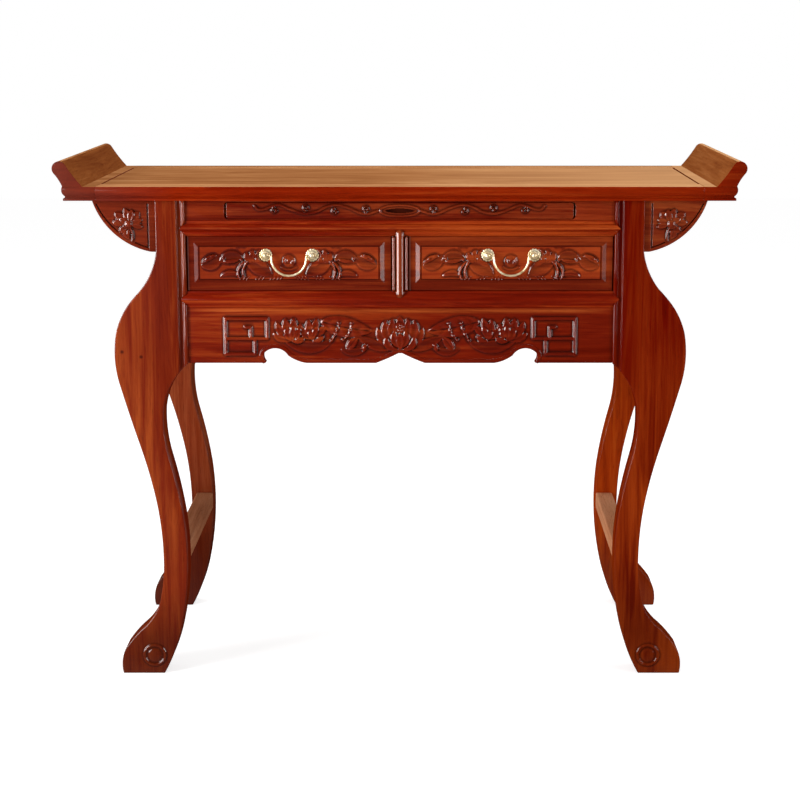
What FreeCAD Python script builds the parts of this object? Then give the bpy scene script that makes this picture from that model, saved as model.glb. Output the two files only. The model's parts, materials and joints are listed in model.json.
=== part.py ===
import FreeCAD, Part
import enum
import math
import os

import Sketcher

# Altar table with everted ends, two drawers and a pull-out board over them.
# Frame: X along the table, Y to the back, Z up. The origin is on the floor, at the
# middle of the table, so the front is at negative Y. Lengths are in millimetres.

SIZES = {
    # Tabletop
    "top_height": 871,
    "top_depth": 480,
    "slab_thick": 24,
    "frame_rail_wide": 60,
    "end_wide": 55,
    "panel_thick": 16,
    "panel_seam": 1.5,
    "panel_arris": 1.5,
    "tongue_long": 8,
    "tongue_thick": 6,
    "tongue_rise": 2,
    "top_tenon_thick": 10,
    "top_tenon_wide": 30,
    "top_tenon_inset": 15,
    "batten_from_leg": 158,
    "batten_wide": 34,
    "batten_tenon_thick": 5,
    # Moulded edge of the top
    "edge_round": 1.5,
    "edge_bulge_drop": 8,
    "edge_bulge_low": 16,
    "edge_quirk_in": 5,
    "edge_quirk_side": 3.5,
    "edge_quirk_top": 7.5,
    "edge_quirk_low": 5.5,
    "edge_fillet_top": 4,
    "edge_fillet_in": 2,
    # Everted ends
    "end_quirk_in": 3,
    "end_bulge_out": 2,
    "end_neck_out": 0.5,
    "end_neck_rise": 0.8,
    "flange_foot_in": 34,
    "flange_hollow": 1.1,
    "flange_sag": 1.1,
    "roll_out": 4.5,
    "roll_rise": 30.5,
    "roll_radius": 12.5,
    # Legs
    "leg_spread_half": 368,
    "leg_wide": 51,
    "leg_thick": 52,
    "leg_set_in": 12,
    "leg_swing": 80,
    "overhang": 99,
    "leg_tenon_long": 14,
    "leg_tenon_thick": 14,
    "leg_tenon_inset": 13,
    "leg_bead_wide": 6.5,
    "leg_bead_sink": 0.8,
    "leg_cove_wide": 8.5,
    "leg_cove_deep": 5,
    "foot_ring_out": 73,
    "foot_ring_height": 34,
    "foot_ring_radius": 21,
    "foot_ring_wide": 3,
    "foot_ring_deep": 2,
    # Brackets outside the legs
    "bracket_long": 108,
    "bracket_high": 89,
    "bracket_toe": 9,
    "bracket_thick": 20,
    "bracket_set_in": 6,
    "bracket_tongue": 8,
    "bracket_tongue_thick": 8,
    "bracket_groove_in": 6,
    "bracket_groove_wide": 2.4,
    "bracket_groove_deep": 2,
    "bracket_bead_wide": 3,
    # Heights of the front's rails and boards
    "frieze_high": 35,
    "upper_rail_high": 27,
    "drawer_opening": 95,
    "lower_rail_high": 28,
    "apron_high": 98,
    # Rails and boards of the front
    "rail_set_in": 1,
    "rail_deep": 31,
    "point_layer": 8,
    "mitre_point": 10.5,
    "upper_bead_drop": 6,
    "upper_bead_high": 12,
    "fine_bead_rise": 3,
    "fine_bead_inset": 1.5,
    "lower_bead_inset": 3.5,
    "bead_sink": 4,
    "tenon_long": 20,
    "tenon_inset": 4,
    "deep_tenon_inset": 12,
    "tenon_set_back": 11,
    "tenon_thick": 10,
    "board_set_in": 6,
    "board_thick": 18,
    "board_tenon_thick": 6,
    "divider_half": 14.5,
    "divider_bead_half": 11,
    "divider_bead_proud": 3,
    "divider_bead_rise": 6,
    "divider_tenon_half": 10,
    "divider_tenon_long": 12,
    "divider_tenon_back": 4,
    # Pull-out board and the slot that it slides through
    "slot_from_leg": 67.3,
    "slot_rim_low": 2.3,
    "slot_rim_high": 3.8,
    "slot_corner": 6,
    "slide_gap_end": 3.2,
    "slide_gap": 0.7,
    "slide_set_in": 4.5,
    "slide_front_thick": 17.5,
    "slide_corner": 4,
    "finger_half": 29,
    "finger_rise": 7.5,
    "finger_deep": 7,
    "slide_board_in": 4.7,
    "slide_gap_back": 88,
    "slide_board_rise": 5.7,
    "slide_board_thick": 16,
    # Apron
    "apron_hook_in": 130.5,
    "apron_cusp_rise": 19,
    "apron_arch_rise": 26,
    "apron_lip_wide": 7,
    "apron_lip_proud": 1.2,
    # Back and sides
    "back_board_thick": 20,
    "back_set_in": 6,
    "back_panel_thick": 8,
    "back_apron_high": 50,
    "side_set_in": 6,
    "side_rail_thick": 28,
    "side_panel_thick": 8,
    "panel_groove": 6,
    "side_apron_thick": 18,
    "side_apron_high": 70,
    "side_apron_rise": 40,
    "side_apron_foot": 26,
    "side_tenon_long": 25,
    "stretcher_in": 11,
    "stretcher_wide": 32,
    "stretcher_height": 200,
    "stretcher_high": 32,
    "stretcher_arris": 2,
    "stretcher_tenon_inset": 8,
    # Runners inside
    "runner_wide": 28,
    "runner_thick": 18,
    "guide_rise": 16,
    "guide_gap": 1.8,
    "centre_runner_half": 40,
    "slide_runner_grip": 15,
    "slide_runner_wide": 30,
    "slide_runner_gap": 1,
    # Drawers
    "drawer_gap_side": 2.5,
    "drawer_gap_middle": 1.5,
    "drawer_gap_low": 1,
    "drawer_gap_high": 0.8,
    "drawer_set_in": 6,
    "drawer_front_thick": 18,
    "drawer_gap_back": 38,
    "drawer_border": 11,
    "drawer_border_high": 10,
    "drawer_border_low": 14,
    "field_bevel": 7,
    "field_rise": 4,
    "drawer_side_thick": 10,
    "drawer_side_set_in": 1,
    "drawer_side_drop": 6,
    "drawer_run_gap": 0.3,
    "drawer_bottom_thick": 5,
    "drawer_bottom_rise": 6,
    "drawer_back_in": 4,
    "drawer_groove": 4,
    "dovetail_long": 12,
    "dovetail_root": 7,
    "dovetail_flare": 3,
    # Bail handles
    "post_half_spacing": 40,
    "post_rise": 62,
    "rosette_radius": 11.4,
    "rosette_thick": 2.4,
    "rosette_scallop": 1.3,
    "rosette_rim": 1,
    "post_collar_radius": 6.6,
    "post_collar_long": 1.8,
    "post_neck_radius": 3.4,
    "ball_radius": 5,
    "ball_out": 8.5,
    "shank_radius": 2,
    "nut_across": 8,
    "nut_thick": 3.5,
    "bail_rod_radius": 2.25,
    "bail_half": 30,
    "bail_drop": 5,
    "bail_turn": 3,
    "bail_shoulder": 1,
    "bail_pin_radius": 1.5,
    "bail_pin_long": 7,
    "eye_deep": 2.5,
    "pin_gap": 0.12,
    # Fits
    "fit": 0.2,
    "overrun": 3,
}

# A leg's two long curves as points on a chain of arcs: the end of one arc, a point that
# it passes, its other end, and so on. The first number is the share of the leg's swing,
# out from the upper part's outer side for the outer curve and from its inner side for
# the inner one. The second is the share of the height up to the bracket's toe.
LEG_OUTER_SHARES = [
    (0, 1),
    (0.177, 0.942),
    (0.482, 0.899),
    (0.756, 0.859),
    (0.918, 0.814),
    (0.957, 0.754),
    (0.847, 0.687),
    (0.651, 0.6155),
    (0.458, 0.5495),
    (0.285, 0.486),
    (0.145, 0.4205),
    (0.056, 0.3547),
    (0.021, 0.2846),
    (0.04, 0.2287),
    (0.115, 0.18),
    (0.242, 0.146),
    (0.454, 0.116),
    (0.7, 0.091),
    (0.917, 0.062),
    (1.0, 0.035),
    (0.9875, 0),
]
LEG_INNER_SHARES = [
    (0, 0.744),
    (0.407, 0.6905),
    (0.577, 0.631),
    (0.567, 0.575),
    (0.462, 0.516),
    (0.303, 0.446),
    (0.19, 0.3774),
    (0.137, 0.309),
    (0.141, 0.239),
    (0.198, 0.173),
    (0.308, 0.108),
    (0.465, 0.053),
    (0.7, 0),
]

# Half of the apron's lower edge in the same way, from its middle cusp to the hook. The
# first number is a share of the hook's distance from the middle. The second is a share
# of the cusp's height in the cusp's arc, and of the arch's height in the rest. The last
# two say which way the wood lies, out and up, as shares of how far the lip reaches in.
APRON_CUSP_SHARES = [
    (0, 1, 0, 1.2),
    (0.101, 0.39, 0.4, 0.92),
    (0.179, 0, 0.1, 1),
]
APRON_ARCH_SHARES = [
    (0.686, 0, -0.1, 1),
    (0.757, 0.175, -0.38, 0.92),
    (0.821, 0.51, -0.45, 0.88),
    (0.918, 1, 0, 1),
    (0.997, 0.66, 0.95, 0.3),
    (1.0, 0.42, 1, 0),
    (0.981, 0.04, 0.9, -0.16),
]
APRON_BEAK_SHARE = 0.987

# The round edge of a bracket passes this point between its toe and its tip.
BRACKET_BOW_OUT_SHARE = 0.66
BRACKET_BOW_UP_SHARE = 0.383
BRACKET_SLOPE_IN_SHARE = 0.8
BRACKET_SLOPE_UP_SHARE = 0.6

# The flange leans out by these shares of its length, up and outwards.
LEAN_UP_SHARE = 0.794
LEAN_OUT_SHARE = 0.608
LOBE_SHARE = 0.2
SCALLOP_COUNT = 12
HEX_SIDE_COUNT = 6
LATHE_SIDE_COUNT = 12
ROD_SIDE_COUNT = 8
BALL_STEP_COUNT = 6
BEND_STEP_COUNT = 3
BOW_STEP_COUNT = 12
TAIL_COUNT = 3
HALF_SHARE = 0.5
ROUND_BOW_SHARE = 1 - math.sqrt(HALF_SHARE)

ORIGIN = FreeCAD.Vector(0, 0, 0)
X_AXIS = FreeCAD.Vector(1, 0, 0)
Y_AXIS = FreeCAD.Vector(0, 1, 0)
Z_AXIS = FreeCAD.Vector(0, 0, 1)


class PointOf(enum.IntEnum):
    """How a sketch counts the points of a line or an arc, from 1 up."""

    START = enum.auto()
    END = enum.auto()
    CENTRE = enum.auto()


doc = FreeCAD.newDocument("altar_table")
sheet = doc.addObject("Spreadsheet::Sheet", "sizes")
for row, (alias, value) in enumerate(SIZES.items(), start=1):
    sheet.set(f"A{row}", alias)
    sheet.set(f"B{row}", str(value))
    sheet.setAlias(f"B{row}", alias)
doc.recompute()


class Size:
    """A length: its value now, and the formula on the sheet's cells that gives it."""

    def __init__(self, value, text):
        self.value = value
        self.text = text

    def joined(self, sign, other, value, turned=False):
        mine, theirs = self.text, other.text
        if turned:
            mine, theirs = theirs, mine
        return Size(value, f"({mine} {sign} {theirs})")

    def __add__(self, other):
        other = as_size(other)
        return self.joined("+", other, self.value + other.value)

    def __sub__(self, other):
        other = as_size(other)
        return self.joined("-", other, self.value - other.value)

    def __rsub__(self, other):
        other = as_size(other)
        return self.joined("-", other, other.value - self.value, turned=True)

    def __mul__(self, other):
        other = as_size(other)
        return self.joined("*", other, self.value * other.value)

    def __neg__(self):
        return Size(-self.value, f"(0 - {self.text})")

    @property
    def half(self):
        return self * HALF_SHARE

    __radd__ = __add__
    __rmul__ = __mul__


def as_size(thing):
    if isinstance(thing, Size):
        return thing
    return Size(float(thing), repr(float(thing)))


class Sheet:
    """Reads a cell of the sheet by its alias."""

    def __getattr__(self, alias):
        return Size(float(sheet.get(alias)), "sizes." + alias)


def between(one, other, share=HALF_SHARE):
    """The place between two others, half way or at another share."""
    return one + (other - one) * share


def arcs(points):
    """The steps of a chain of arcs: an end, a point passed, an end, a point passed..."""
    return [("arc", via, there) for via, there in zip(points[1::2], points[2::2])]


S = Sheet()
ZERO = as_size(0)
parts = []


def keep(feature, label):
    feature.Label = label
    parts.append(feature)
    return feature


def mirrored(source, label):
    """The left-hand twin of a right-hand piece."""
    twin = doc.addObject("Part::Mirroring", label)
    twin.Source = source
    twin.Normal = X_AXIS
    twin.Base = ORIGIN
    return keep(twin, label)


def new_body(name):
    return doc.addObject("PartDesign::Body", name)


def sketch_on(body, role, offset):
    """A sketch on the body's own plane, moved along the plane's normal by offset.
    The normal of XZ_Plane points to the front, so an offset there is minus Y."""
    sketch = body.newObject("Sketcher::SketchObject", body.Name + "_sketch")
    plane = next(f for f in body.Origin.OriginFeatures if f.Role == role)
    sketch.AttachmentSupport = [(plane, "")]
    sketch.MapMode = "FlatFace"
    place = FreeCAD.Placement(offset.value * Z_AXIS, FreeCAD.Rotation())
    sketch.AttachmentOffset = place
    sketch.setExpression("AttachmentOffset.Base.z", offset.text)
    return sketch


def flat(point):
    return FreeCAD.Vector(point[0].value, point[1].value, 0)


def pin_point(sketch, geometry, position, point):
    """Ties a point of the sketch to the sheet."""
    for kind, size in (("DistanceX", point[0]), ("DistanceY", point[1])):
        index = sketch.addConstraint(
            Sketcher.Constraint(kind, geometry, position, size.value)
        )
        sketch.setExpression(f"Constraints[{index}]", size.text)


def outline(sketch, start, *steps):
    """Draws a closed outline. A step is one point for a straight edge, and
    ("arc", via, end) for a round one."""
    edges = []
    here = start
    for step in steps:
        if step[0] == "arc":
            via, there = step[1], step[2]
            ends = flat(here), flat(there)
            # A sketch keeps its arcs anticlockwise, so the others are drawn backwards.
            bend = (flat(via) - ends[0]).cross(ends[1] - flat(via)).z
            if bend < 0:
                ends = ends[::-1]
            index = sketch.addGeometry(Part.Arc(ends[0], flat(via), ends[1]))
            mark = sketch.addGeometry(Part.Point(flat(via)), True)
            pin_point(sketch, mark, PointOf.START, via)
            sketch.addConstraint(
                Sketcher.Constraint("PointOnObject", mark, PointOf.START, index)
            )
            first, last = PointOf.START, PointOf.END
            edges.append((index, last, first) if bend < 0 else (index, first, last))
        else:
            there = step
            line = Part.LineSegment(flat(here), flat(there))
            index = sketch.addGeometry(line)
            edges.append((index, PointOf.START, PointOf.END))
        pin_point(sketch, index, edges[-1][1], here)
        here = there
    for (one, _, last), (two, first, _) in zip(edges, edges[1:] + edges[:1]):
        sketch.addConstraint(Sketcher.Constraint("Coincident", one, last, two, first))


def rectangle(sketch, low, high):
    outline(sketch, low, (high[0], low[1]), high, (low[0], high[1]), low)


def ring(sketch, centre, radius):
    circle = Part.Circle(flat(centre), Z_AXIS, radius.value)
    index = sketch.addGeometry(circle)
    pin_point(sketch, index, PointOf.CENTRE, centre)
    size = sketch.addConstraint(Sketcher.Constraint("Radius", index, radius.value))
    sketch.setExpression(f"Constraints[{size}]", radius.text)


def pad(body, sketch, length):
    feature = body.newObject("PartDesign::Pad", body.Name + "_pad")
    feature.Profile = sketch
    feature.setExpression("Length", length.text)
    return feature


def pocket(body, sketch, length, along_normal=False):
    feature = body.newObject("PartDesign::Pocket", body.Name + "_pocket")
    feature.Profile = sketch
    feature.Reversed = along_normal
    feature.setExpression("Length", length.text)
    return feature


def pad_block(body, low, high):
    """A square-edged block of a body, from its low corner to its high one."""
    sketch = sketch_on(body, "XY_Plane", low[2])
    rectangle(sketch, low[:2], high[:2])
    return pad(body, sketch, high[2] - low[2])


def cut_block(body, low, high):
    """A square-edged mortise, groove or notch between two corners."""
    sketch = sketch_on(body, "XY_Plane", low[2])
    rectangle(sketch, low[:2], high[:2])
    return pocket(body, sketch, high[2] - low[2], along_normal=True)


def eased(low, high):
    """The two corners of a block, let out by the fit on every side."""
    return [c - S.fit for c in low], [c + S.fit for c in high]


def crossed(low, high):
    """The same block on the other side of the table's long middle plane."""
    return (low[0], -high[1], low[2]), (high[0], -low[1], high[2])


def flipped(low, high):
    """The same block at the other end of the table."""
    return (-high[0], low[1], low[2]), (-low[0], high[1], high[2])


def as_drawn(low, high):
    """The same block where it is."""
    return low, high


def cut_long(body, low, high, sketch_points):
    """Cuts an outline in the YZ plane along X, from one place to another."""
    sketch = sketch_on(body, "YZ_Plane", low)
    outline(sketch, *sketch_points)
    return pocket(body, sketch, high - low, along_normal=True)


# Heights and places that several pieces share
top_low = S.top_height - S.slab_thick
frieze_low = top_low - S.frieze_high
upper_rail_low = frieze_low - S.upper_rail_high
lower_rail_top = upper_rail_low - S.drawer_opening
lower_rail_low = lower_rail_top - S.lower_rail_high
apron_low = lower_rail_low - S.apron_high
bracket_low = top_low - S.bracket_high
panel_low = S.top_height - S.panel_thick
tongue_low = panel_low + S.tongue_rise
tongue_high = tongue_low + S.tongue_thick
leg_inner = S.leg_spread_half
leg_outer = leg_inner + S.leg_wide
joint = leg_outer + S.overhang
end_tip = joint + S.end_wide
top_face = S.top_depth.half
rail_inside = top_face - S.frame_rail_wide
leg_face = top_face - S.leg_set_in
leg_back_face = leg_face - S.leg_thick
rail_face = leg_face - S.rail_set_in
rail_back = rail_face - S.rail_deep
sunk_face = rail_face - S.bead_sink
board_face = leg_face - S.board_set_in
board_back = board_face - S.board_thick
drawer_face = rail_face - S.drawer_set_in
slide_face = leg_face - S.slide_set_in
back_outer = leg_face - S.back_set_in
back_inner = back_outer - S.back_board_thick
side_outer = leg_outer - S.side_set_in
side_inner = side_outer - S.side_rail_thick
panel_middle = between(side_inner, side_outer)


# Tenons, as pairs of corners on the right-hand half of the table
def rail_tenon(low, high):
    """The tenon of a front rail that goes into the right leg."""
    front = rail_face - S.tenon_set_back
    return (
        (leg_inner, -front, low + S.tenon_inset),
        (leg_inner + S.tenon_long, S.tenon_thick - front, high - S.tenon_inset),
    )


def board_tenon(face, low, high, inset):
    """The tenon of an upright board, face out, that goes into the right leg."""
    front = face - (S.board_thick - S.board_tenon_thick).half
    return (
        (leg_inner, -front, low + inset),
        (leg_inner + S.tenon_long, S.board_tenon_thick - front, high - inset),
    )


def side_tenon(thick, low, high, inset):
    """The tenon of a side rail or board that goes into the front leg."""
    return (
        (
            panel_middle - thick.half,
            -(leg_back_face + S.side_tenon_long),
            low + inset,
        ),
        (panel_middle + thick.half, -leg_back_face, high - inset),
    )


upper_tenon = rail_tenon(upper_rail_low, frieze_low)
lower_tenon = rail_tenon(lower_rail_low, lower_rail_top)
frieze_tenon = board_tenon(board_face, frieze_low, top_low, S.tenon_inset)
apron_tenon = board_tenon(board_face, apron_low, lower_rail_low, S.deep_tenon_inset)
back_apron_low = lower_rail_low - S.back_apron_high
side_apron_low = lower_rail_low - S.side_apron_high
back_upper_tenon = board_tenon(back_outer, frieze_low, top_low, S.tenon_inset)
back_lower_tenon = board_tenon(
    back_outer, lower_rail_low, lower_rail_top, S.tenon_inset
)
back_apron_tenon = board_tenon(
    back_outer, back_apron_low, lower_rail_low, S.deep_tenon_inset
)
side_upper_tenon = side_tenon(S.tenon_thick, frieze_low, top_low, S.tenon_inset)
side_lower_tenon = side_tenon(
    S.tenon_thick, lower_rail_low, lower_rail_top, S.tenon_inset
)
side_apron_tenon = side_tenon(
    S.board_tenon_thick, side_apron_low, lower_rail_low, S.deep_tenon_inset
)
side_panel_tongue = (
    (
        panel_middle - S.side_panel_thick.half,
        -(leg_back_face + S.panel_groove),
        lower_rail_top,
    ),
    (panel_middle + S.side_panel_thick.half, -leg_back_face, frieze_low),
)
back_panel_face = back_outer - (S.back_board_thick - S.back_panel_thick).half
back_panel_tongue = (
    (leg_inner, back_panel_face - S.back_panel_thick, lower_rail_top),
    (leg_inner + S.panel_groove, back_panel_face, frieze_low),
)
stretcher_inner = leg_inner + S.stretcher_in
stretcher_outer = stretcher_inner + S.stretcher_wide
stretcher_top = S.stretcher_height + S.stretcher_high
stretcher_tenon = (
    (
        stretcher_inner + S.stretcher_tenon_inset,
        -(leg_back_face + S.side_tenon_long),
        S.stretcher_height + S.tenon_inset,
    ),
    (
        stretcher_outer - S.stretcher_tenon_inset,
        -leg_back_face,
        stretcher_top - S.tenon_inset,
    ),
)
leg_tenon = (
    (leg_inner + S.leg_tenon_inset, S.leg_tenon_inset - leg_face, top_low),
    (
        leg_outer - S.leg_tenon_inset,
        S.leg_tenon_inset + S.leg_tenon_thick - leg_face,
        top_low + S.leg_tenon_long,
    ),
)
bracket_toe = leg_outer + S.bracket_toe
bracket_tip = leg_outer + S.bracket_long
bracket_front = leg_face - S.bracket_set_in
bracket_tongue_face = bracket_front - (S.bracket_thick - S.bracket_tongue_thick).half
bracket_tongue_box = (
    (
        leg_outer - S.bracket_tongue,
        -bracket_tongue_face,
        bracket_low + S.deep_tenon_inset,
    ),
    (leg_outer, S.bracket_tongue_thick - bracket_tongue_face, top_low - S.tenon_inset),
)
top_tenon = (
    (joint, S.top_tenon_inset - top_face, top_low + S.tenon_inset),
    (
        joint + S.tenon_long,
        S.top_tenon_inset + S.top_tenon_wide - top_face,
        top_low + S.tenon_inset + S.top_tenon_thick,
    ),
)
batten_place = leg_inner - S.batten_from_leg
batten_side = S.batten_wide.half
batten_tenon = (
    (
        batten_place - batten_side + S.tenon_inset,
        -(rail_inside + S.tongue_long),
        top_low,
    ),
    (
        batten_place + batten_side - S.tenon_inset,
        -rail_inside,
        top_low + S.batten_tenon_thick,
    ),
)


def edge_moulding_cut(side):
    """What the moulding plane takes off the top's front edge (side -1) or back edge."""

    def at(inward, height):
        return ((top_face - inward) * side, height)

    past = -S.overrun
    return [
        at(past, S.top_height),
        at(S.edge_round, S.top_height),
        (
            "arc",
            at(ZERO, S.top_height - S.edge_bulge_drop),
            at(S.edge_quirk_side, S.top_height - S.edge_bulge_low),
        ),
        at(S.edge_quirk_in, top_low + S.edge_quirk_top),
        at(S.edge_quirk_in, top_low + S.edge_quirk_low),
        at(S.edge_fillet_in, top_low + S.edge_fillet_top),
        at(S.edge_fillet_in, top_low - S.overrun),
        at(past, top_low - S.overrun),
        at(past, S.top_height),
    ]


def top_rail(name, side):
    """The front (side -1) or back rail of the top's frame."""
    body = new_body(name)
    front, inside = top_face * side, rail_inside * side
    low_y, high_y = (front, inside) if side < 0 else (inside, front)
    pad_block(body, (-joint, low_y, top_low), (joint, high_y, S.top_height))
    turn = as_drawn if side < 0 else crossed
    batten_low, batten_high = eased(*batten_tenon)
    batten_notch = (*batten_low[:2], top_low - S.overrun), batten_high
    for end in (as_drawn, flipped):
        pad_block(body, *end(*turn(*top_tenon)))
        cut_block(body, *end(*turn(*eased(*leg_tenon))))
        cut_block(body, *end(*turn(*batten_notch)))
    groove = (
        (-joint - S.overrun, -(rail_inside + S.tongue_long + S.fit), tongue_low),
        (joint + S.overrun, S.overrun - rail_inside, tongue_high + S.fit),
    )
    cut_block(body, *turn(*groove))
    cut_long(body, -joint, joint, edge_moulding_cut(side))
    keep(body, name)


def top_panel():
    """The floating panel of the top: a tongue all round, and a small V at each end."""
    body = new_body("top_panel")
    half = joint - S.panel_seam
    deep = rail_inside - S.fit
    pad_block(body, (-half, -deep, panel_low), (half, deep, S.top_height))
    out, back = half + S.tongue_long, deep + S.tongue_long
    pad_block(body, (-out, -back, tongue_low), (out, back, tongue_high))
    for end in (1, -1):
        sketch = sketch_on(body, "XZ_Plane", -(deep + S.overrun))
        outline(
            sketch,
            (half * end, S.top_height - S.panel_arris),
            ((half - S.panel_arris) * end, S.top_height),
            (half * end, S.top_height),
            (half * end, S.top_height - S.panel_arris),
        )
        deepest = deep + deep + S.overrun + S.overrun
        pocket(body, sketch, deepest, along_normal=True)
    keep(body, "top_panel")


def batten():
    """A batten that stiffens the panel, lapped into the frame's long rails."""
    body = new_body("top_batten_right")
    pad_block(
        body,
        (batten_place - batten_side, S.fit - rail_inside, top_low),
        (batten_place + batten_side, rail_inside - S.fit, panel_low),
    )
    pad_block(body, *batten_tenon)
    pad_block(body, *crossed(*batten_tenon))
    keep(body, "top_batten_right")
    mirrored(body, "top_batten_left")


def end_scroll():
    """The end piece of the top, with its everted flange rolled over at the lip."""
    body = new_body("end_scroll_right")
    sketch = sketch_on(body, "XZ_Plane", -top_face)
    roll_x, roll_z = end_tip + S.roll_out, S.top_height + S.roll_rise
    lean_out = S.roll_radius * LEAN_OUT_SHARE
    lean_up = S.roll_radius * LEAN_UP_SHARE
    inner_top = (roll_x - lean_up, roll_z + lean_out)
    outer_top = (roll_x + lean_up, roll_z - lean_out)
    crown = (roll_x + lean_out, roll_z + lean_up)
    neck = (end_tip + S.end_neck_out, S.top_height + S.end_neck_rise)
    foot = (end_tip - S.flange_foot_in, S.top_height)

    def bowed(start, end, sag):
        """The middle of a long face that bows up and inwards by sag."""
        return (
            between(start[0], end[0]) - sag * LEAN_UP_SHARE,
            between(start[1], end[1]) + sag * LEAN_OUT_SHARE,
        )

    quirk = end_tip - S.end_quirk_in
    bulge = (end_tip + S.end_bulge_out, S.top_height - S.edge_bulge_drop)
    outline(
        sketch,
        (joint, top_low),
        (end_tip, top_low),
        (end_tip, top_low + S.edge_fillet_top),
        (quirk, top_low + S.edge_quirk_low),
        (quirk, top_low + S.edge_quirk_top),
        ("arc", bulge, neck),
        ("arc", bowed(neck, outer_top, S.flange_sag), outer_top),
        ("arc", crown, inner_top),
        ("arc", bowed(inner_top, foot, -S.flange_hollow), foot),
        (joint, S.top_height),
        (joint, top_low),
    )
    pad(body, sketch, S.top_depth)
    tenon_low, tenon_high = eased(*top_tenon)
    cut_block(body, tenon_low, tenon_high)
    cut_block(body, *crossed(tenon_low, tenon_high))
    groove_deep = rail_inside + S.tongue_long + S.fit
    cut_block(
        body,
        (joint - S.overrun, -groove_deep, tongue_low),
        (joint + S.tongue_long, groove_deep, tongue_high + S.fit),
    )
    far = end_tip + S.end_bulge_out + S.overrun
    for side in (-1, 1):
        cut_long(body, joint - S.overrun, far, edge_moulding_cut(side))
    keep(body, "end_scroll_right")
    mirrored(body, "end_scroll_left")


def leg_blank(body, front):
    """A cabriole leg sawn from a plank: a straight head and two long curves."""
    sketch = sketch_on(body, "XZ_Plane", front - S.leg_thick)

    def along(edge, shares):
        return [(edge + S.leg_swing * out, bracket_low * up) for out, up in shares]

    outer = along(leg_outer, reversed(LEG_OUTER_SHARES))
    inner = along(leg_inner, LEG_INNER_SHARES)
    outline(
        sketch,
        (leg_inner, top_low),
        inner[0],
        *arcs(inner),
        outer[0],
        *arcs(outer),
        (leg_outer, top_low),
        (leg_inner, top_low),
    )
    pad(body, sketch, S.leg_thick)


def leg_bead(body):
    """The half-round bead along a front leg's inner edge, and the cove beside it. They
    run out below the apron, where the edge curves away."""
    side = leg_inner + S.leg_bead_wide
    shore = side + S.leg_cove_wide
    floor = S.leg_cove_deep - leg_face
    past = -leg_face - S.overrun
    low = apron_low - S.leg_bead_wide - S.leg_cove_wide - S.leg_cove_wide
    shoulder = S.leg_bead_sink + S.leg_bead_wide.half - leg_face
    sketch = sketch_on(body, "XY_Plane", low)
    outline(
        sketch,
        (leg_inner - S.overrun, past),
        (leg_inner - S.overrun, shoulder),
        (leg_inner, shoulder),
        ("arc", (between(leg_inner, side), S.leg_bead_sink - leg_face), (side, shoulder)),
        (side, floor),
        (shore, floor),
        (shore, past),
        (leg_inner - S.overrun, past),
    )
    pocket(body, sketch, top_low - low, along_normal=True)


def leg_front():
    body = new_body("leg_front_right")
    leg_blank(body, leg_face)
    leg_bead(body)
    pad_block(body, *leg_tenon)
    for box in (upper_tenon, lower_tenon, frieze_tenon, apron_tenon):
        cut_block(body, *eased(*box))
    for box in (side_upper_tenon, side_lower_tenon, side_apron_tenon):
        cut_block(body, *eased(*box))
    for box in (side_panel_tongue, stretcher_tenon, bracket_tongue_box):
        cut_block(body, *eased(*box))
    for low, high in (upper_beads, lower_bead):
        middle = between(low, high)
        sketch = sketch_on(body, "XZ_Plane", leg_face)
        reach = S.mitre_point + S.fit
        outline(
            sketch,
            (leg_inner - S.fit, middle + reach),
            (leg_inner + reach - S.fit, middle),
            (leg_inner - S.fit, middle - reach),
            (leg_inner - S.fit, middle + reach),
        )
        pocket(body, sketch, leg_face - rail_face + S.point_layer + S.fit)
    sketch = sketch_on(body, "XZ_Plane", leg_face)
    centre = (leg_inner + S.foot_ring_out, S.foot_ring_height)
    ring(sketch, centre, S.foot_ring_radius - S.foot_ring_wide)
    ring(sketch, centre, S.foot_ring_radius)
    pocket(body, sketch, S.foot_ring_deep)
    keep(body, "leg_front_right")
    mirrored(body, "leg_front_left")


def leg_back():
    body = new_body("leg_back_right")
    leg_blank(body, -leg_back_face)
    pad_block(body, *crossed(*leg_tenon))
    for box in (back_upper_tenon, back_lower_tenon, back_apron_tenon):
        cut_block(body, *eased(*crossed(*box)))
    cut_block(body, *eased(*back_panel_tongue))
    for box in (side_upper_tenon, side_lower_tenon, side_apron_tenon):
        cut_block(body, *eased(*crossed(*box)))
    for box in (side_panel_tongue, stretcher_tenon, bracket_tongue_box):
        cut_block(body, *eased(*crossed(*box)))
    keep(body, "leg_back_right")
    mirrored(body, "leg_back_left")


def bracket(name, twin, front, tongue, carved):
    """A quarter-round wing bracket between a leg and the top's overhang."""
    body = new_body(name)
    sketch = sketch_on(body, "XZ_Plane", front - S.bracket_thick)
    bow = (
        between(bracket_toe, bracket_tip, BRACKET_BOW_OUT_SHARE),
        between(bracket_low, top_low, BRACKET_BOW_UP_SHARE),
    )
    outline(
        sketch,
        (leg_outer, top_low),
        (leg_outer, bracket_low),
        (bracket_toe, bracket_low),
        ("arc", bow, (bracket_tip, top_low)),
        (leg_outer, top_low),
    )
    pad(body, sketch, S.bracket_thick)
    pad_block(body, *tongue)
    if carved:
        bracket_lines(body, front, bow)
    keep(body, name)
    mirrored(body, twin)


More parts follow.
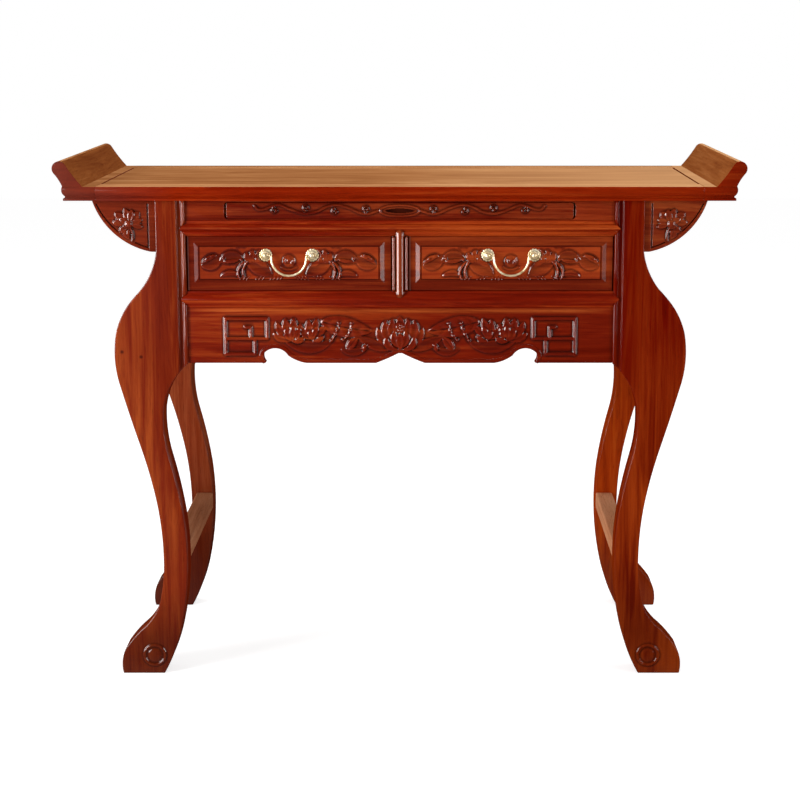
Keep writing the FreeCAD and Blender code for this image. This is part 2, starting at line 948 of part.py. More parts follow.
def bracket_lines(body, front, bow):
    """The groove that follows the bracket's round edge, and the one beside its root."""
    near, wide = S.bracket_groove_in, S.bracket_groove_wide
    far = near + wide
    root = bracket_toe + S.bracket_bead_wide

    def along(inward):
        """Ends and middle of the edge's arc, moved inwards."""
        return (
            (root, bracket_low + inward),
            (
                bow[0] - inward * BRACKET_SLOPE_IN_SHARE,
                bow[1] + inward * BRACKET_SLOPE_UP_SHARE,
            ),
            (bracket_tip - inward, top_low - near),
        )

    one, two = along(near), along(far)
    sketch = sketch_on(body, "XZ_Plane", front)
    outline(
        sketch,
        one[0],
        ("arc", one[1], one[2]),
        two[2],
        ("arc", two[1], two[0]),
        one[0],
    )
    pocket(body, sketch, S.bracket_groove_deep)
    sketch = sketch_on(body, "XZ_Plane", front)
    rectangle(sketch, (root, bracket_low + far), (root + wide, top_low - near))
    pocket(body, sketch, S.bracket_groove_deep)


# Lower and upper edges of the mouldings on the two front rails
upper_bead_top = frieze_low - S.upper_bead_drop
upper_bead_split = upper_bead_top - S.upper_bead_high
upper_bead_foot = upper_rail_low + S.fine_bead_inset
upper_beads = (upper_bead_foot, upper_bead_top + S.fine_bead_rise)
lower_bead = (lower_rail_low + S.lower_bead_inset, lower_rail_top - S.lower_bead_inset)


def rail_with_points(body, low, high, beads):
    """A front rail whose moulded face ends in mitred points let into the legs."""
    middle = between(*beads)
    reach = leg_inner
    tip = reach + S.mitre_point
    sketch = sketch_on(body, "XZ_Plane", rail_face - S.point_layer)
    outline(
        sketch,
        (-reach, low),
        (reach, low),
        (reach, middle - S.mitre_point),
        (tip, middle),
        (reach, middle + S.mitre_point),
        (reach, high),
        (-reach, high),
        (-reach, middle + S.mitre_point),
        (-tip, middle),
        (-reach, middle - S.mitre_point),
        (-reach, low),
    )
    pad(body, sketch, S.point_layer)
    pad_block(body, (-reach, S.point_layer - rail_face, low), (reach, -rail_back, high))


def divider_notch(body, edge, way):
    """The V that takes a point of the divider, up (way 1) or down from a rail's edge,
    and the mortise behind it."""
    sketch = sketch_on(body, "XZ_Plane", divider_crown)
    half = S.divider_bead_half + S.fit
    outline(
        sketch,
        (-half, edge - S.fit * way),
        (ZERO, edge + (half - S.fit) * way),
        (half, edge - S.fit * way),
        (-half, edge - S.fit * way),
    )
    pocket(body, sketch, S.divider_bead_proud + S.point_layer + S.fit)
    cut_block(body, *eased(*divider_tenon(edge, way)))


divider_crown = rail_face + S.divider_bead_proud
divider_bead_side = divider_crown - S.divider_bead_rise


def divider_tenon(edge, way):
    far = edge + S.divider_tenon_long * way
    low, high = (edge, far) if way > 0 else (far, edge)
    front = rail_face - S.tenon_set_back - S.divider_tenon_back
    return (
        (-S.divider_tenon_half, -front, low),
        (S.divider_tenon_half, S.tenon_thick - front, high),
    )


def drawer_rails():
    """The two moulded rails of the front, over and under the drawers."""
    past = -rail_face - S.overrun
    tip = leg_inner + S.mitre_point + S.overrun
    body = new_body("drawer_rail_upper")
    rail_with_points(body, upper_rail_low, frieze_low, upper_beads)
    for box in (upper_tenon, flipped(*upper_tenon)):
        pad_block(body, *box)
    crown = (-rail_face, between(upper_bead_split, upper_bead_top))
    fine_crown = (
        -sunk_face - S.fine_bead_rise,
        between(upper_bead_foot, upper_bead_split),
    )
    cut_long(
        body,
        -tip,
        tip,
        [
            (past, frieze_low + S.overrun),
            (-sunk_face, frieze_low + S.overrun),
            (-sunk_face, upper_bead_top),
            ("arc", crown, (-sunk_face, upper_bead_split)),
            ("arc", fine_crown, (-sunk_face, upper_bead_foot)),
            (-sunk_face, upper_rail_low - S.overrun),
            (past, upper_rail_low - S.overrun),
            (past, frieze_low + S.overrun),
        ],
    )
    divider_notch(body, upper_rail_low, 1)
    keep(body, "drawer_rail_upper")

    body = new_body("drawer_rail_lower")
    foot, brow = lower_bead
    rail_with_points(body, lower_rail_low, lower_rail_top, lower_bead)
    for box in (lower_tenon, flipped(*lower_tenon)):
        pad_block(body, *box)
    cut_long(
        body,
        -tip,
        tip,
        [
            (past, lower_rail_top + S.overrun),
            (-sunk_face, lower_rail_top + S.overrun),
            (-sunk_face, brow),
            ("arc", (-rail_face, between(foot, brow)), (-sunk_face, foot)),
            (-sunk_face, lower_rail_low - S.overrun),
            (past, lower_rail_low - S.overrun),
            (past, lower_rail_top + S.overrun),
        ],
    )
    divider_notch(body, lower_rail_top, -1)
    keep(body, "drawer_rail_lower")


def divider():
    """The post between the drawers: a half-round bead with a mitred point at each end."""
    body = new_body("drawer_divider")
    low, high = lower_rail_top, upper_rail_low
    half = S.divider_bead_half
    layer_back = rail_face - S.point_layer
    sketch = sketch_on(body, "XZ_Plane", layer_back)
    outline(
        sketch,
        (-half, low),
        (ZERO, low - half),
        (half, low),
        (half, high),
        (ZERO, high + half),
        (-half, high),
        (-half, low),
    )
    pad(body, sketch, divider_crown - layer_back)
    pad_block(
        body,
        (-S.divider_half, -sunk_face, low),
        (S.divider_half, -rail_back, high),
    )
    for edge, way in ((high, 1), (low, -1)):
        pad_block(body, *divider_tenon(edge, way))
    crown, side = -divider_crown, -divider_bead_side
    past = half + S.overrun
    start = low - past
    sketch = sketch_on(body, "XY_Plane", start)
    outline(
        sketch,
        (-past, crown - S.overrun),
        (-past, side),
        (-half, side),
        ("arc", (ZERO, crown), (half, side)),
        (past, side),
        (past, crown - S.overrun),
        (-past, crown - S.overrun),
    )
    pocket(body, sketch, high + past - start, along_normal=True)
    keep(body, "drawer_divider")


def rounded_slot(sketch, half, low, high, corner):
    """A long rectangle with round corners."""
    bow = corner * ROUND_BOW_SHARE
    steps = []
    for x_way, z_way in ((1, -1), (1, 1), (-1, 1), (-1, -1)):
        x, z = half * x_way, high if z_way > 0 else low
        up = (x, z - corner * z_way)
        side = (x - corner * x_way, z)
        via = (x - bow * x_way, z - bow * z_way)
        first, last = (side, up) if x_way * z_way < 0 else (up, side)
        steps += [first, ("arc", via, last)]
    outline(sketch, steps[0], *steps[1:], steps[0])


# The slot of the pull-out board, and the board's place in it
slot_half = leg_inner - S.slot_from_leg
slot_low = frieze_low + S.slot_rim_low
slot_high = top_low - S.slot_rim_high
slide_board_half = slot_half - S.slide_board_in
slide_board_low = slot_low + S.slide_board_rise
slide_board_top = slide_board_low + S.slide_board_thick


def frieze():
    """The board under the top, with the slot for the pull-out board."""
    body = new_body("frieze_board_front")
    pad_block(
        body,
        (-leg_inner, -board_face, frieze_low),
        (leg_inner, -board_back, top_low),
    )
    for box in (frieze_tenon, flipped(*frieze_tenon)):
        pad_block(body, *box)
    sketch = sketch_on(body, "XZ_Plane", board_face)
    rounded_slot(sketch, slot_half, slot_low, slot_high, S.slot_corner)
    pocket(body, sketch, S.board_thick)
    keep(body, "frieze_board_front")


def slide_tray():
    """The pull-out board: a rounded front with a finger recess, and a plain shelf."""
    body = new_body("tray_front")
    back = slide_face - S.slide_front_thick
    sketch = sketch_on(body, "XZ_Plane", back)
    low, high = slot_low + S.slide_gap, slot_high - S.slide_gap
    rounded_slot(sketch, slot_half - S.slide_gap_end, low, high, S.slide_corner)
    pad(body, sketch, S.slide_front_thick)
    middle = between(low, high)
    sketch = sketch_on(body, "XZ_Plane", slide_face)
    outline(
        sketch,
        (-S.finger_half, middle),
        ("arc", (ZERO, middle - S.finger_rise), (S.finger_half, middle)),
        ("arc", (ZERO, middle + S.finger_rise), (-S.finger_half, middle)),
    )
    pocket(body, sketch, S.finger_deep)
    tongue_base = between(slide_board_low, slide_board_top) - S.tongue_thick.half
    tongue = (
        (-slide_board_half, -back - S.tongue_long, tongue_base),
        (slide_board_half, -back, tongue_base + S.tongue_thick),
    )
    cut_block(body, *eased(*tongue))
    keep(body, "tray_front")
    body = new_body("tray_board")
    pad_block(
        body,
        (-slide_board_half, -back, slide_board_low),
        (slide_board_half, back_inner - S.slide_gap_back, slide_board_top),
    )
    pad_block(body, *tongue)
    keep(body, "tray_board")


def apron_edge(way, inward):
    """Points along one half of the apron's lower edge, from the middle cusp to the
    hook, moved into the wood by inward."""
    hook = leg_inner - S.apron_hook_in
    points = []
    for shares, rise in (
        (APRON_CUSP_SHARES, S.apron_cusp_rise),
        (APRON_ARCH_SHARES, S.apron_arch_rise),
    ):
        for out, up, lean_out, lean_up in shares:
            x = hook * out + inward * lean_out
            points.append((x * way, apron_low + rise * up + inward * lean_up))
    return points


def apron_half(way, inward):
    """The same points as steps of a sketch, outwards from the cusp."""
    points = apron_edge(way, inward)
    cusp = len(APRON_CUSP_SHARES)
    return [points[0], *arcs(points[:cusp]), points[cusp], *arcs(points[cusp:])]


def turned_back(steps):
    """Steps of a sketch in the other direction."""
    ends = [step[-1] if step[0] == "arc" else step for step in steps]
    back = [ends[-1]]
    for step, end in zip(reversed(steps[1:]), reversed(ends[:-1])):
        back.append(("arc", step[1], end) if step[0] == "arc" else end)
    return back


def apron():
    """The shaped front apron, cusped in the middle and hooked by the frets, with a
    raised lip along the edge between the hooks."""
    body = new_body("apron_front")
    edge = leg_inner - S.apron_hook_in * APRON_BEAK_SHARE
    sketch = sketch_on(body, "XZ_Plane", board_back)
    right, left = apron_half(1, ZERO), turned_back(apron_half(-1, ZERO))
    outline(
        sketch,
        *right,
        (edge, apron_low),
        (leg_inner, apron_low),
        (leg_inner, lower_rail_low),
        (-leg_inner, lower_rail_low),
        (-leg_inner, apron_low),
        (-edge, apron_low),
        *left,
    )
    pad(body, sketch, S.board_thick)
    for box in (apron_tenon, flipped(*apron_tenon)):
        pad_block(body, *box)
    sketch = sketch_on(body, "XZ_Plane", board_face - S.apron_lip_proud)
    upper_left = apron_half(-1, S.apron_lip_wide)
    upper_right = turned_back(apron_half(1, S.apron_lip_wide))
    outline(
        sketch,
        *right,
        *upper_right,
        *upper_left[1:],
        *left,
    )
    pad(body, sketch, S.apron_lip_proud + S.apron_lip_proud)
    keep(body, "apron_front")


def back_board(name, low, high, tenon):
    body = new_body(name)
    pad_block(body, (-leg_inner, back_inner, low), (leg_inner, back_outer, high))
    for box in (crossed(*tenon), flipped(*crossed(*tenon))):
        pad_block(body, *box)
    keep(body, name)


def back_panel():
    body = new_body("back_panel")
    low, high = back_panel_tongue
    pad_block(body, flipped(low, high)[0], high)
    keep(body, "back_panel")


def side_rail(name, twin, low, high, tenon):
    body = new_body(name)
    pad_block(
        body,
        (side_inner, -leg_back_face, low),
        (side_outer, leg_back_face, high),
    )
    for box in (tenon, crossed(*tenon)):
        pad_block(body, *box)
    keep(body, name)
    mirrored(body, twin)


def side_panel():
    body = new_body("side_panel_right")
    low, high = side_panel_tongue
    pad_block(body, low, crossed(low, high)[1])
    keep(body, "side_panel_right")
    mirrored(body, "side_panel_left")


def side_apron():
    """The apron between the legs of one end: one shallow arch on short feet."""
    body = new_body("side_apron_right")
    sketch = sketch_on(body, "YZ_Plane", panel_middle - S.side_apron_thick.half)
    low, high = side_apron_low, lower_rail_low
    reach, foot = leg_back_face, leg_back_face - S.side_apron_foot
    outline(
        sketch,
        (-reach, low),
        (-foot, low),
        ("arc", (ZERO, low + S.side_apron_rise), (foot, low)),
        (reach, low),
        (reach, high),
        (-reach, high),
        (-reach, low),
    )
    pad(body, sketch, S.side_apron_thick)
    for box in (side_apron_tenon, crossed(*side_apron_tenon)):
        pad_block(body, *box)
    keep(body, "side_apron_right")
    mirrored(body, "side_apron_left")


def stretcher():
    """The low rail between a front leg and the back leg behind it."""
    body = new_body("stretcher_right")
    inner, outer = stretcher_inner, stretcher_outer
    low, high = S.stretcher_height, stretcher_top
    ease = S.stretcher_arris
    sketch = sketch_on(body, "XZ_Plane", -leg_back_face)
    outline(
        sketch,
        (inner + ease, low),
        (outer - ease, low),
        (outer, low + ease),
        (outer, high - ease),
        (outer - ease, high),
        (inner + ease, high),
        (inner, high - ease),
        (inner, low + ease),
        (inner + ease, low),
    )
    pad(body, sketch, leg_back_face + leg_back_face)
    for box in (stretcher_tenon, crossed(*stretcher_tenon)):
        pad_block(body, *box)
    keep(body, "stretcher_right")
    mirrored(body, "stretcher_left")


def drawer_runners():
    """The shelves and guides that the drawers slide on."""
    body = new_body("drawer_runner_right")
    top = lower_rail_top
    low = top - S.runner_thick
    guide = leg_inner - S.drawer_gap_side - S.drawer_side_set_in + S.guide_gap
    pad_block(
        body,
        (guide - S.runner_wide, -rail_back, low),
        (guide, back_inner, top),
    )
    pad_block(
        body,
        (guide, -leg_back_face, low),
        (side_inner, leg_back_face, top + S.guide_rise),
    )
    keep(body, "drawer_runner_right")
    mirrored(body, "drawer_runner_left")
    body = new_body("drawer_runner_centre")
    pad_block(
        body,
        (-S.centre_runner_half, -rail_back, low),
        (S.centre_runner_half, back_inner, top),
    )
    inner_face = S.divider_half + S.drawer_gap_middle + S.drawer_side_set_in
    ridge = inner_face - S.guide_gap
    pad_block(
        body,
        (-ridge, -rail_back, top),
        (ridge, back_inner, top + S.guide_rise),
    )
    keep(body, "drawer_runner_centre")


def slide_runner():
    """A grooved strip that carries one edge of the pull-out board."""
    body = new_body("tray_runner_right")
    inner = slide_board_half - S.slide_runner_grip
    pad_block(
        body,
        (inner, -board_back, frieze_low),
        (inner + S.slide_runner_wide, back_inner, top_low),
    )
    cut_block(
        body,
        (inner - S.overrun, -board_back - S.overrun, slide_board_low - S.drawer_run_gap),
        (
            slide_board_half + S.slide_runner_gap,
            back_inner + S.overrun,
            slide_board_top + S.drawer_run_gap,
        ),
    )
    keep(body, "tray_runner_right")
    mirrored(body, "tray_runner_left")


# Places of the right-hand drawer
drawer_inner = S.divider_half + S.drawer_gap_middle
drawer_outer = leg_inner - S.drawer_gap_side
drawer_low = lower_rail_top + S.drawer_gap_low
drawer_high = upper_rail_low - S.drawer_gap_high
drawer_centre = between(drawer_inner, drawer_outer)
box_inner = drawer_inner + S.drawer_side_set_in
box_outer = drawer_outer - S.drawer_side_set_in
box_front = drawer_face - S.drawer_front_thick
box_back = back_inner - S.drawer_gap_back
box_low = lower_rail_top + S.drawer_run_gap
box_high = drawer_high - S.drawer_side_drop
bottom_low = box_low + S.drawer_bottom_rise
bottom_high = bottom_low + S.drawer_bottom_thick
field_front = drawer_face + S.field_rise
post_height = drawer_low + S.post_rise


def tail(number, ease):
    """One dovetail of a drawer side, in the YZ plane, let out by ease."""
    middle = between(box_low, box_high, (number + HALF_SHARE) / TAIL_COUNT)
    back = ease - box_front
    front = -(box_front + S.dovetail_long) - ease
    narrow = S.dovetail_root + ease
    broad = narrow + S.dovetail_flare
    return [
        (back, middle - narrow),
        (back, middle + narrow),
        (front, middle + broad),
        (front, middle - broad),
        (back, middle - narrow),
    ]


def drawer_front(name, twin):
    """The drawer front: a fielded board with sockets for the sides' dovetails."""
    body = new_body(name)
    sketch = sketch_on(body, "XZ_Plane", box_front)
    rectangle(sketch, (drawer_inner, drawer_low), (drawer_outer, drawer_high))
    pad(body, sketch, S.drawer_front_thick)
    low = (drawer_inner + S.drawer_border, drawer_low + S.drawer_border_low)
    high = (drawer_outer - S.drawer_border, drawer_high - S.drawer_border_high)
    base = sketch_on(body, "XZ_Plane", drawer_face)
    rectangle(base, low, high)
    rim = sketch_on(body, "XZ_Plane", field_front)
    rectangle(
        rim,
        [place + S.field_bevel for place in low],
        [place - S.field_bevel for place in high],
    )
    field = body.newObject("PartDesign::AdditiveLoft", name + "_field")
    field.Profile = base
    field.Sections = [rim]
    field.Ruled = True
    for number in range(TAIL_COUNT):
        inside = box_inner + S.drawer_side_thick
        cut_long(body, box_inner - S.fit, inside + S.fit, tail(number, S.fit))
        inside = box_outer - S.drawer_side_thick
        cut_long(body, inside - S.fit, box_outer + S.fit, tail(number, S.fit))
    cut_block(
        body,
        (box_inner, -box_front - S.drawer_groove, bottom_low),
        (box_outer, S.overrun - box_front, bottom_high + S.fit),
    )
    sketch = sketch_on(body, "XZ_Plane", field_front)
    for side in (-1, 1):
        centre = (drawer_centre + S.post_half_spacing * side, post_height)
        ring(sketch, centre, S.shank_radius + S.fit)
    pocket(body, sketch, S.field_rise + S.drawer_front_thick + S.overrun)
    keep(body, name)
    mirrored(body, twin)


def drawer_side(name, twin, low_x, inside):
    """A drawer side with dovetails on its front end and a groove for the bottom."""
    body = new_body(name)
    high_x = low_x + S.drawer_side_thick
    pad_block(body, (low_x, -box_front, box_low), (high_x, box_back, box_high))
    for number in range(TAIL_COUNT):
        sketch = sketch_on(body, "YZ_Plane", low_x)
        outline(sketch, *tail(number, ZERO))
        pad(body, sketch, S.drawer_side_thick)
    cut_block(
        body,
        (inside, -box_front - S.drawer_groove, bottom_low),
        (inside + S.drawer_groove, box_back + S.overrun, bottom_high + S.fit),
    )
    keep(body, name)
    mirrored(body, twin)


def drawer_back():
    body = new_body("drawer_right_back")
    inner, outer = box_inner + S.drawer_side_thick, box_outer - S.drawer_side_thick
    rear = box_back - S.drawer_back_in
    pad_block(
        body,
        (inner, rear - S.drawer_side_thick, bottom_high),
        (outer, rear, box_high),
    )
    keep(body, "drawer_right_back")
    mirrored(body, "drawer_left_back")


def drawer_bottom():
    body = new_body("drawer_right_bottom")
    inner = box_inner + S.drawer_side_thick - S.drawer_groove + S.fit
    outer = box_outer - S.drawer_side_thick + S.drawer_groove - S.fit
    pad_block(
        body,
        (inner, S.fit - box_front - S.drawer_groove, bottom_low),
        (outer, box_back, bottom_high),
    )
    keep(body, "drawer_right_bottom")
    mirrored(body, "drawer_left_bottom")


# Handles. The pieces are worked out in code from the sheet, since turned posts, a
# scalloped rim and a bent rod are rows of rings, which no sketch of a body gives.
post_x = [drawer_centre.value + S.post_half_spacing.value * side for side in (-1, 1)]
post_z = post_height.value
seat_y = -field_front.value
back_y = -box_front.value
collar_y = seat_y - S.rosette_thick.value
ball_y = seat_y - S.ball_out.value


def placed(label, shape):
    feature = doc.addObject("Part::Feature", label)
    feature.Shape = shape
    return keep(feature, label)


def turns(count):
    return [2 * math.pi * number / count for number in range(count)]


def ring_of(centre, one, two, radius, count):
    """The corners of a regular polygon in the plane of two directions."""
    return [
        centre + radius * (math.cos(turn) * one + math.sin(turn) * two)
        for turn in turns(count)
    ]


def skin(rings):
    """A solid through a row of rings that have the same number of corners."""
    faces = [Part.Face(Part.makePolygon(end + end[:1])) for end in (rings[0], rings[-1])]
    for one, two in zip(rings, rings[1:]):
        for a, b in zip(range(len(one)), [*range(1, len(one)), 0]):
            corners = [one[a], one[b], two[b], two[a], one[a]]
            faces.append(Part.Face(Part.makePolygon(corners)))
    solid = Part.Solid(Part.Shell(faces))
    if solid.Volume < 0:
        solid.reverse()
    return solid


def turned(x, stations):
    """A turned bar along Y: each station is its place and its radius."""
    rings = [
        ring_of(FreeCAD.Vector(x, y, post_z), X_AXIS, Z_AXIS, radius, LATHE_SIDE_COUNT)
        for y, radius in stations
    ]
    return skin(rings)


def rosette(x):
    """A thin domed plate with a scalloped rim."""
    radius, rim = S.rosette_radius.value, S.rosette_rim.value
    valley = radius - S.rosette_scallop.value
    middle = FreeCAD.Vector(x, seat_y, post_z)
    corners = []
    for turn in turns(SCALLOP_COUNT):
        pitch = 2 * math.pi / SCALLOP_COUNT
        for share, reach in ((-HALF_SHARE, valley), (-LOBE_SHARE, radius), (LOBE_SHARE, radius)):
            angle = turn + pitch * share
            way = math.cos(angle) * X_AXIS + math.sin(angle) * Z_AXIS
            corners.append(middle + reach * way)
    plate = Part.Face(Part.makePolygon(corners + corners[:1])).extrude(-rim * Y_AXIS)
    dome = turned(x, [(seat_y - rim, valley), (collar_y, S.post_collar_radius.value)])
    bore = S.shank_radius.value + S.fit.value
    hole = turned(x, [(seat_y, bore), (collar_y, bore)])
    return plate.fuse(dome).cut(hole).removeSplitter()


def post(x, inward):
    """A ball-headed post with a shank through the drawer front, and an eye for the
    bail's pin."""
    shank_radius, ball_radius = S.shank_radius.value, S.ball_radius.value
    collar_radius, neck_radius = S.post_collar_radius.value, S.post_neck_radius.value
    collar_end = collar_y - S.post_collar_long.value
    tail_y = back_y + S.nut_thick.value
    shank = turned(x, [(tail_y, shank_radius), (collar_y, shank_radius)])
    collar = turned(x, [(collar_y, collar_radius), (collar_end, collar_radius)])
    neck = turned(x, [(collar_end, neck_radius), (ball_y, neck_radius)])
    ball = turned(
        x,
        [
            (
                ball_y + ball_radius * math.cos(math.pi * step / BALL_STEP_COUNT),
                ball_radius * math.sin(math.pi * step / BALL_STEP_COUNT),
            )
            for step in range(1, BALL_STEP_COUNT)
        ],
    )
    reach = S.bail_pin_radius.value + S.pin_gap.value
    eye = skin(
        [
            ring_of(
                FreeCAD.Vector(x + inward * along, ball_y, post_z),
                Y_AXIS,
                Z_AXIS,
                reach,
                LATHE_SIDE_COUNT,
            )
            for along in (-S.eye_deep.value, ball_radius)
        ]
    )
    return shank.fuse([collar, neck, ball]).cut(eye).removeSplitter()


def bail():
    """The swinging rod: a half round between two short arms, bent out into pins."""
    centre = FreeCAD.Vector(drawer_centre.value, ball_y, post_z)
    half, drop, turn = S.bail_half.value, S.bail_drop.value, S.bail_turn.value
    rod, pin = S.bail_rod_radius.value, S.bail_pin_radius.value
    root = half + turn
    shoulder = root + S.bail_shoulder.value
    tip = S.post_half_spacing.value - S.ball_radius.value + S.bail_pin_long.value

    def ring_at(place, lean, radius):
        """A ring across the rod. Lean is the angle of its inner side, up from +X."""
        inner = math.cos(lean) * X_AXIS + math.sin(lean) * Z_AXIS
        return ring_of(centre + place(inner), inner, Y_AXIS, radius, ROD_SIDE_COUNT)

    def straight(x, radius):
        return ring_at(lambda inner: x * X_AXIS, math.pi / 2, radius)

    def bend(side, step):
        """A ring of the left (side -1) or right bend, 0 at its pin."""
        lean = math.pi / 2 * (1 + side * step / BEND_STEP_COUNT)
        corner = side * root * X_AXIS - turn * Z_AXIS
        return ring_at(lambda inner: corner + turn * inner, lean, rod)

    def bow(step):
        lean = math.pi * step / BOW_STEP_COUNT
        return ring_at(lambda inner: -drop * Z_AXIS - half * inner, lean, rod)

    bends = range(BEND_STEP_COUNT + 1)
    return skin(
        [
            straight(-tip, pin),
            straight(-shoulder, pin),
            *[bend(-1, step) for step in bends],
            *[bow(step) for step in range(BOW_STEP_COUNT + 1)],
            *[bend(1, step) for step in reversed(bends)],
            straight(shoulder, pin),
            straight(tip, pin),
        ]
    )


def nut(x):
    """A hexagon nut on the post's shank, inside the drawer."""
    reach = S.nut_across.value * HALF_SHARE / math.cos(math.pi / HEX_SIDE_COUNT)
    ends = (back_y, back_y + S.nut_thick.value)
    block = skin(
        [
            ring_of(FreeCAD.Vector(x, y, post_z), X_AXIS, Z_AXIS, reach, HEX_SIDE_COUNT)
            for y in ends
        ]
    )
    return block.cut(turned(x, [(y, S.shank_radius.value) for y in ends]))


def handle():
    pieces = {
        "rosettes": Part.makeCompound([rosette(x) for x in post_x]),
        "posts": Part.makeCompound(
            [post(x, inward) for x, inward in zip(post_x, (1, -1))]
        ),
        "bail": bail(),
        "nuts": Part.makeCompound([nut(x) for x in post_x]),
    }
    # A handle is the same both ways round, so the left one is the right one moved.
    across = -(drawer_centre + drawer_centre).value * X_AXIS
    for kind, shape in pieces.items():
        placed("handle_right_" + kind, shape)
        placed("handle_left_" + kind, shape.translated(across))


for side, name in ((-1, "top_rail_front"), (1, "top_rail_back")):
    top_rail(name, side)
top_panel()
batten()
end_scroll()
leg_front()
leg_back()
bracket(
    "bracket_front_right",
    "bracket_front_left",
    bracket_front,
    bracket_tongue_box,
    True,
)
bracket(
    "bracket_back_right",
    "bracket_back_left",
    S.bracket_thick - bracket_front,
    crossed(*bracket_tongue_box),
    False,
)
drawer_rails()
divider()
frieze()
slide_tray()
apron()
back_board("back_rail_upper", frieze_low, top_low, back_upper_tenon)
back_board("back_rail_lower", lower_rail_low, lower_rail_top, back_lower_tenon)
back_board("back_apron", back_apron_low, lower_rail_low, back_apron_tenon)
back_panel()
side_rail(
    "side_rail_upper_right",
    "side_rail_upper_left",
    frieze_low,
    top_low,
    side_upper_tenon,
)
side_rail(
    "side_rail_lower_right",
    "side_rail_lower_left",
    lower_rail_low,
    lower_rail_top,
    side_lower_tenon,
)
side_panel()
side_apron()
stretcher()
drawer_runners()
slide_runner()
drawer_front("drawer_right_front", "drawer_left_front")
inner_groove = box_inner + S.drawer_side_thick - S.drawer_groove
outer_side = box_outer - S.drawer_side_thick
drawer_side(
    "drawer_right_side_inner", "drawer_left_side_inner", box_inner, inner_groove
)
drawer_side(
    "drawer_right_side_outer", "drawer_left_side_outer", outer_side, outer_side
)
drawer_back()
drawer_bottom()
handle()

doc.recompute()
faults = [o.Label for o in doc.Objects if {"Invalid", "Error"} & set(o.State)]
for part in parts:
    shape = part.Shape
    if shape.isNull() or not shape.isValid() or not shape.Solids:
        faults.append(part.Label)
if faults:
    raise RuntimeError(f"these pieces didn't build: {faults}")

os.makedirs("parts", exist_ok=True)
for part in parts:
    part.Shape.exportStep(f"parts/{part.Label}.step")
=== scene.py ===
import json
import math

import bmesh
import bpy
import numpy as np
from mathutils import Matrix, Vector


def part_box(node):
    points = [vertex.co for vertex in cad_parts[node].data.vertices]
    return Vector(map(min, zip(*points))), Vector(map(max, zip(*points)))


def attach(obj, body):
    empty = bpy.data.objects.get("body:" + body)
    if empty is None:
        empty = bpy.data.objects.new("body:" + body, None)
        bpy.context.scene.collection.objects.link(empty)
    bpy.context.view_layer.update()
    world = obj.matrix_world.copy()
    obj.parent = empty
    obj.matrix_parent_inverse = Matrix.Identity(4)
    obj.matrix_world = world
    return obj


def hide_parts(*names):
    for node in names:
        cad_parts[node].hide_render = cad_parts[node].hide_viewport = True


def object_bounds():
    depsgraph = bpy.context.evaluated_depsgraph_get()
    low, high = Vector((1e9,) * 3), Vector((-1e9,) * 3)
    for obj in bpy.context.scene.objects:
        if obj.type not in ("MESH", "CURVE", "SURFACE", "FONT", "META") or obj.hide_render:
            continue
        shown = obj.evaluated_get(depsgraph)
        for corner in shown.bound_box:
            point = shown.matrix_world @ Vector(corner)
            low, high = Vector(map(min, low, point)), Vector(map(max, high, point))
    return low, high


# Altar table of red-brown lacquered wood. Metres, X along the table, Y to the back, Z up.
# Carvings are laid out in millimetres across and up, as seen from the front.

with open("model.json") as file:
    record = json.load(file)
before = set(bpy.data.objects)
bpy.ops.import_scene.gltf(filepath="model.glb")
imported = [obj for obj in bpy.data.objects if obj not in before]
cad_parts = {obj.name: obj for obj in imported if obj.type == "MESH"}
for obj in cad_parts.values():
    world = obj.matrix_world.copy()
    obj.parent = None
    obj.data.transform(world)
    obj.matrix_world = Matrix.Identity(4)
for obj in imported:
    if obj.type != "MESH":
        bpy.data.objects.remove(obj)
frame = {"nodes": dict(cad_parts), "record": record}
cad_low, cad_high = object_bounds()
NODE_BODY = {
    node: body
    for body, nodes in frame["record"]["behaviour"]["bodies"].items()
    for node in nodes
}
MM = 0.001


# Shader maths


class Wire:
    """One value or colour in a finish's node tree. Sums of wires add Math nodes."""

    def __init__(self, finish, socket):
        self.finish, self.socket = finish, socket

    def maths(self, operation, *others):
        return self.finish.add("Math", {"operation": operation}, self, *others)

    def __add__(self, other):
        return self.maths("ADD", other)

    def __sub__(self, other):
        return self.maths("SUBTRACT", other)

    def __mul__(self, other):
        return self.maths("MULTIPLY", other)

    def held(self):
        """The same value held between nought and one."""
        return self.finish.add("Clamp", {}, self)


class Shader:
    """A node tree in the making, of a finish or of the world."""

    def __init__(self, tree):
        self.tree = tree

    def add(self, kind, settings, *values, out=0, **named):
        """Adds a node with its settings, then values or links by position or name."""
        node = self.tree.nodes.new("ShaderNode" + kind)
        stops = settings.pop("stops", None)
        for key, value in settings.items():
            setattr(node, key, value)
        if stops:
            ramp = node.color_ramp.elements
            while len(ramp) < len(stops):
                ramp.new(0.5)
            for element, (place, colour) in zip(ramp, stops):
                element.position = place
                element.color = (*colour, 1.0)
        for key, value in [*enumerate(values), *named.items()]:
            self.feed(node, key, value)
        return Wire(self, node.outputs[out])

    def feed(self, node, key, value):
        socket = node.inputs[key]
        if isinstance(value, Wire):
            self.tree.links.new(value.socket, socket)
        else:
            socket.default_value = value

    def rays(self):
        """Shares of the rays that come from the camera or through glass, and off gloss."""
        path = self.tree.nodes.new("ShaderNodeLightPath")
        camera, glossy, glass = (
            Wire(self, path.outputs[name])
            for name in ("Is Camera Ray", "Is Glossy Ray", "Is Transmission Ray")
        )
        return (camera + glass).held(), glossy

    def axes(self, where):
        node = self.tree.nodes.new("ShaderNodeSeparateXYZ")
        self.feed(node, 0, where)
        return [Wire(self, output) for output in node.outputs]


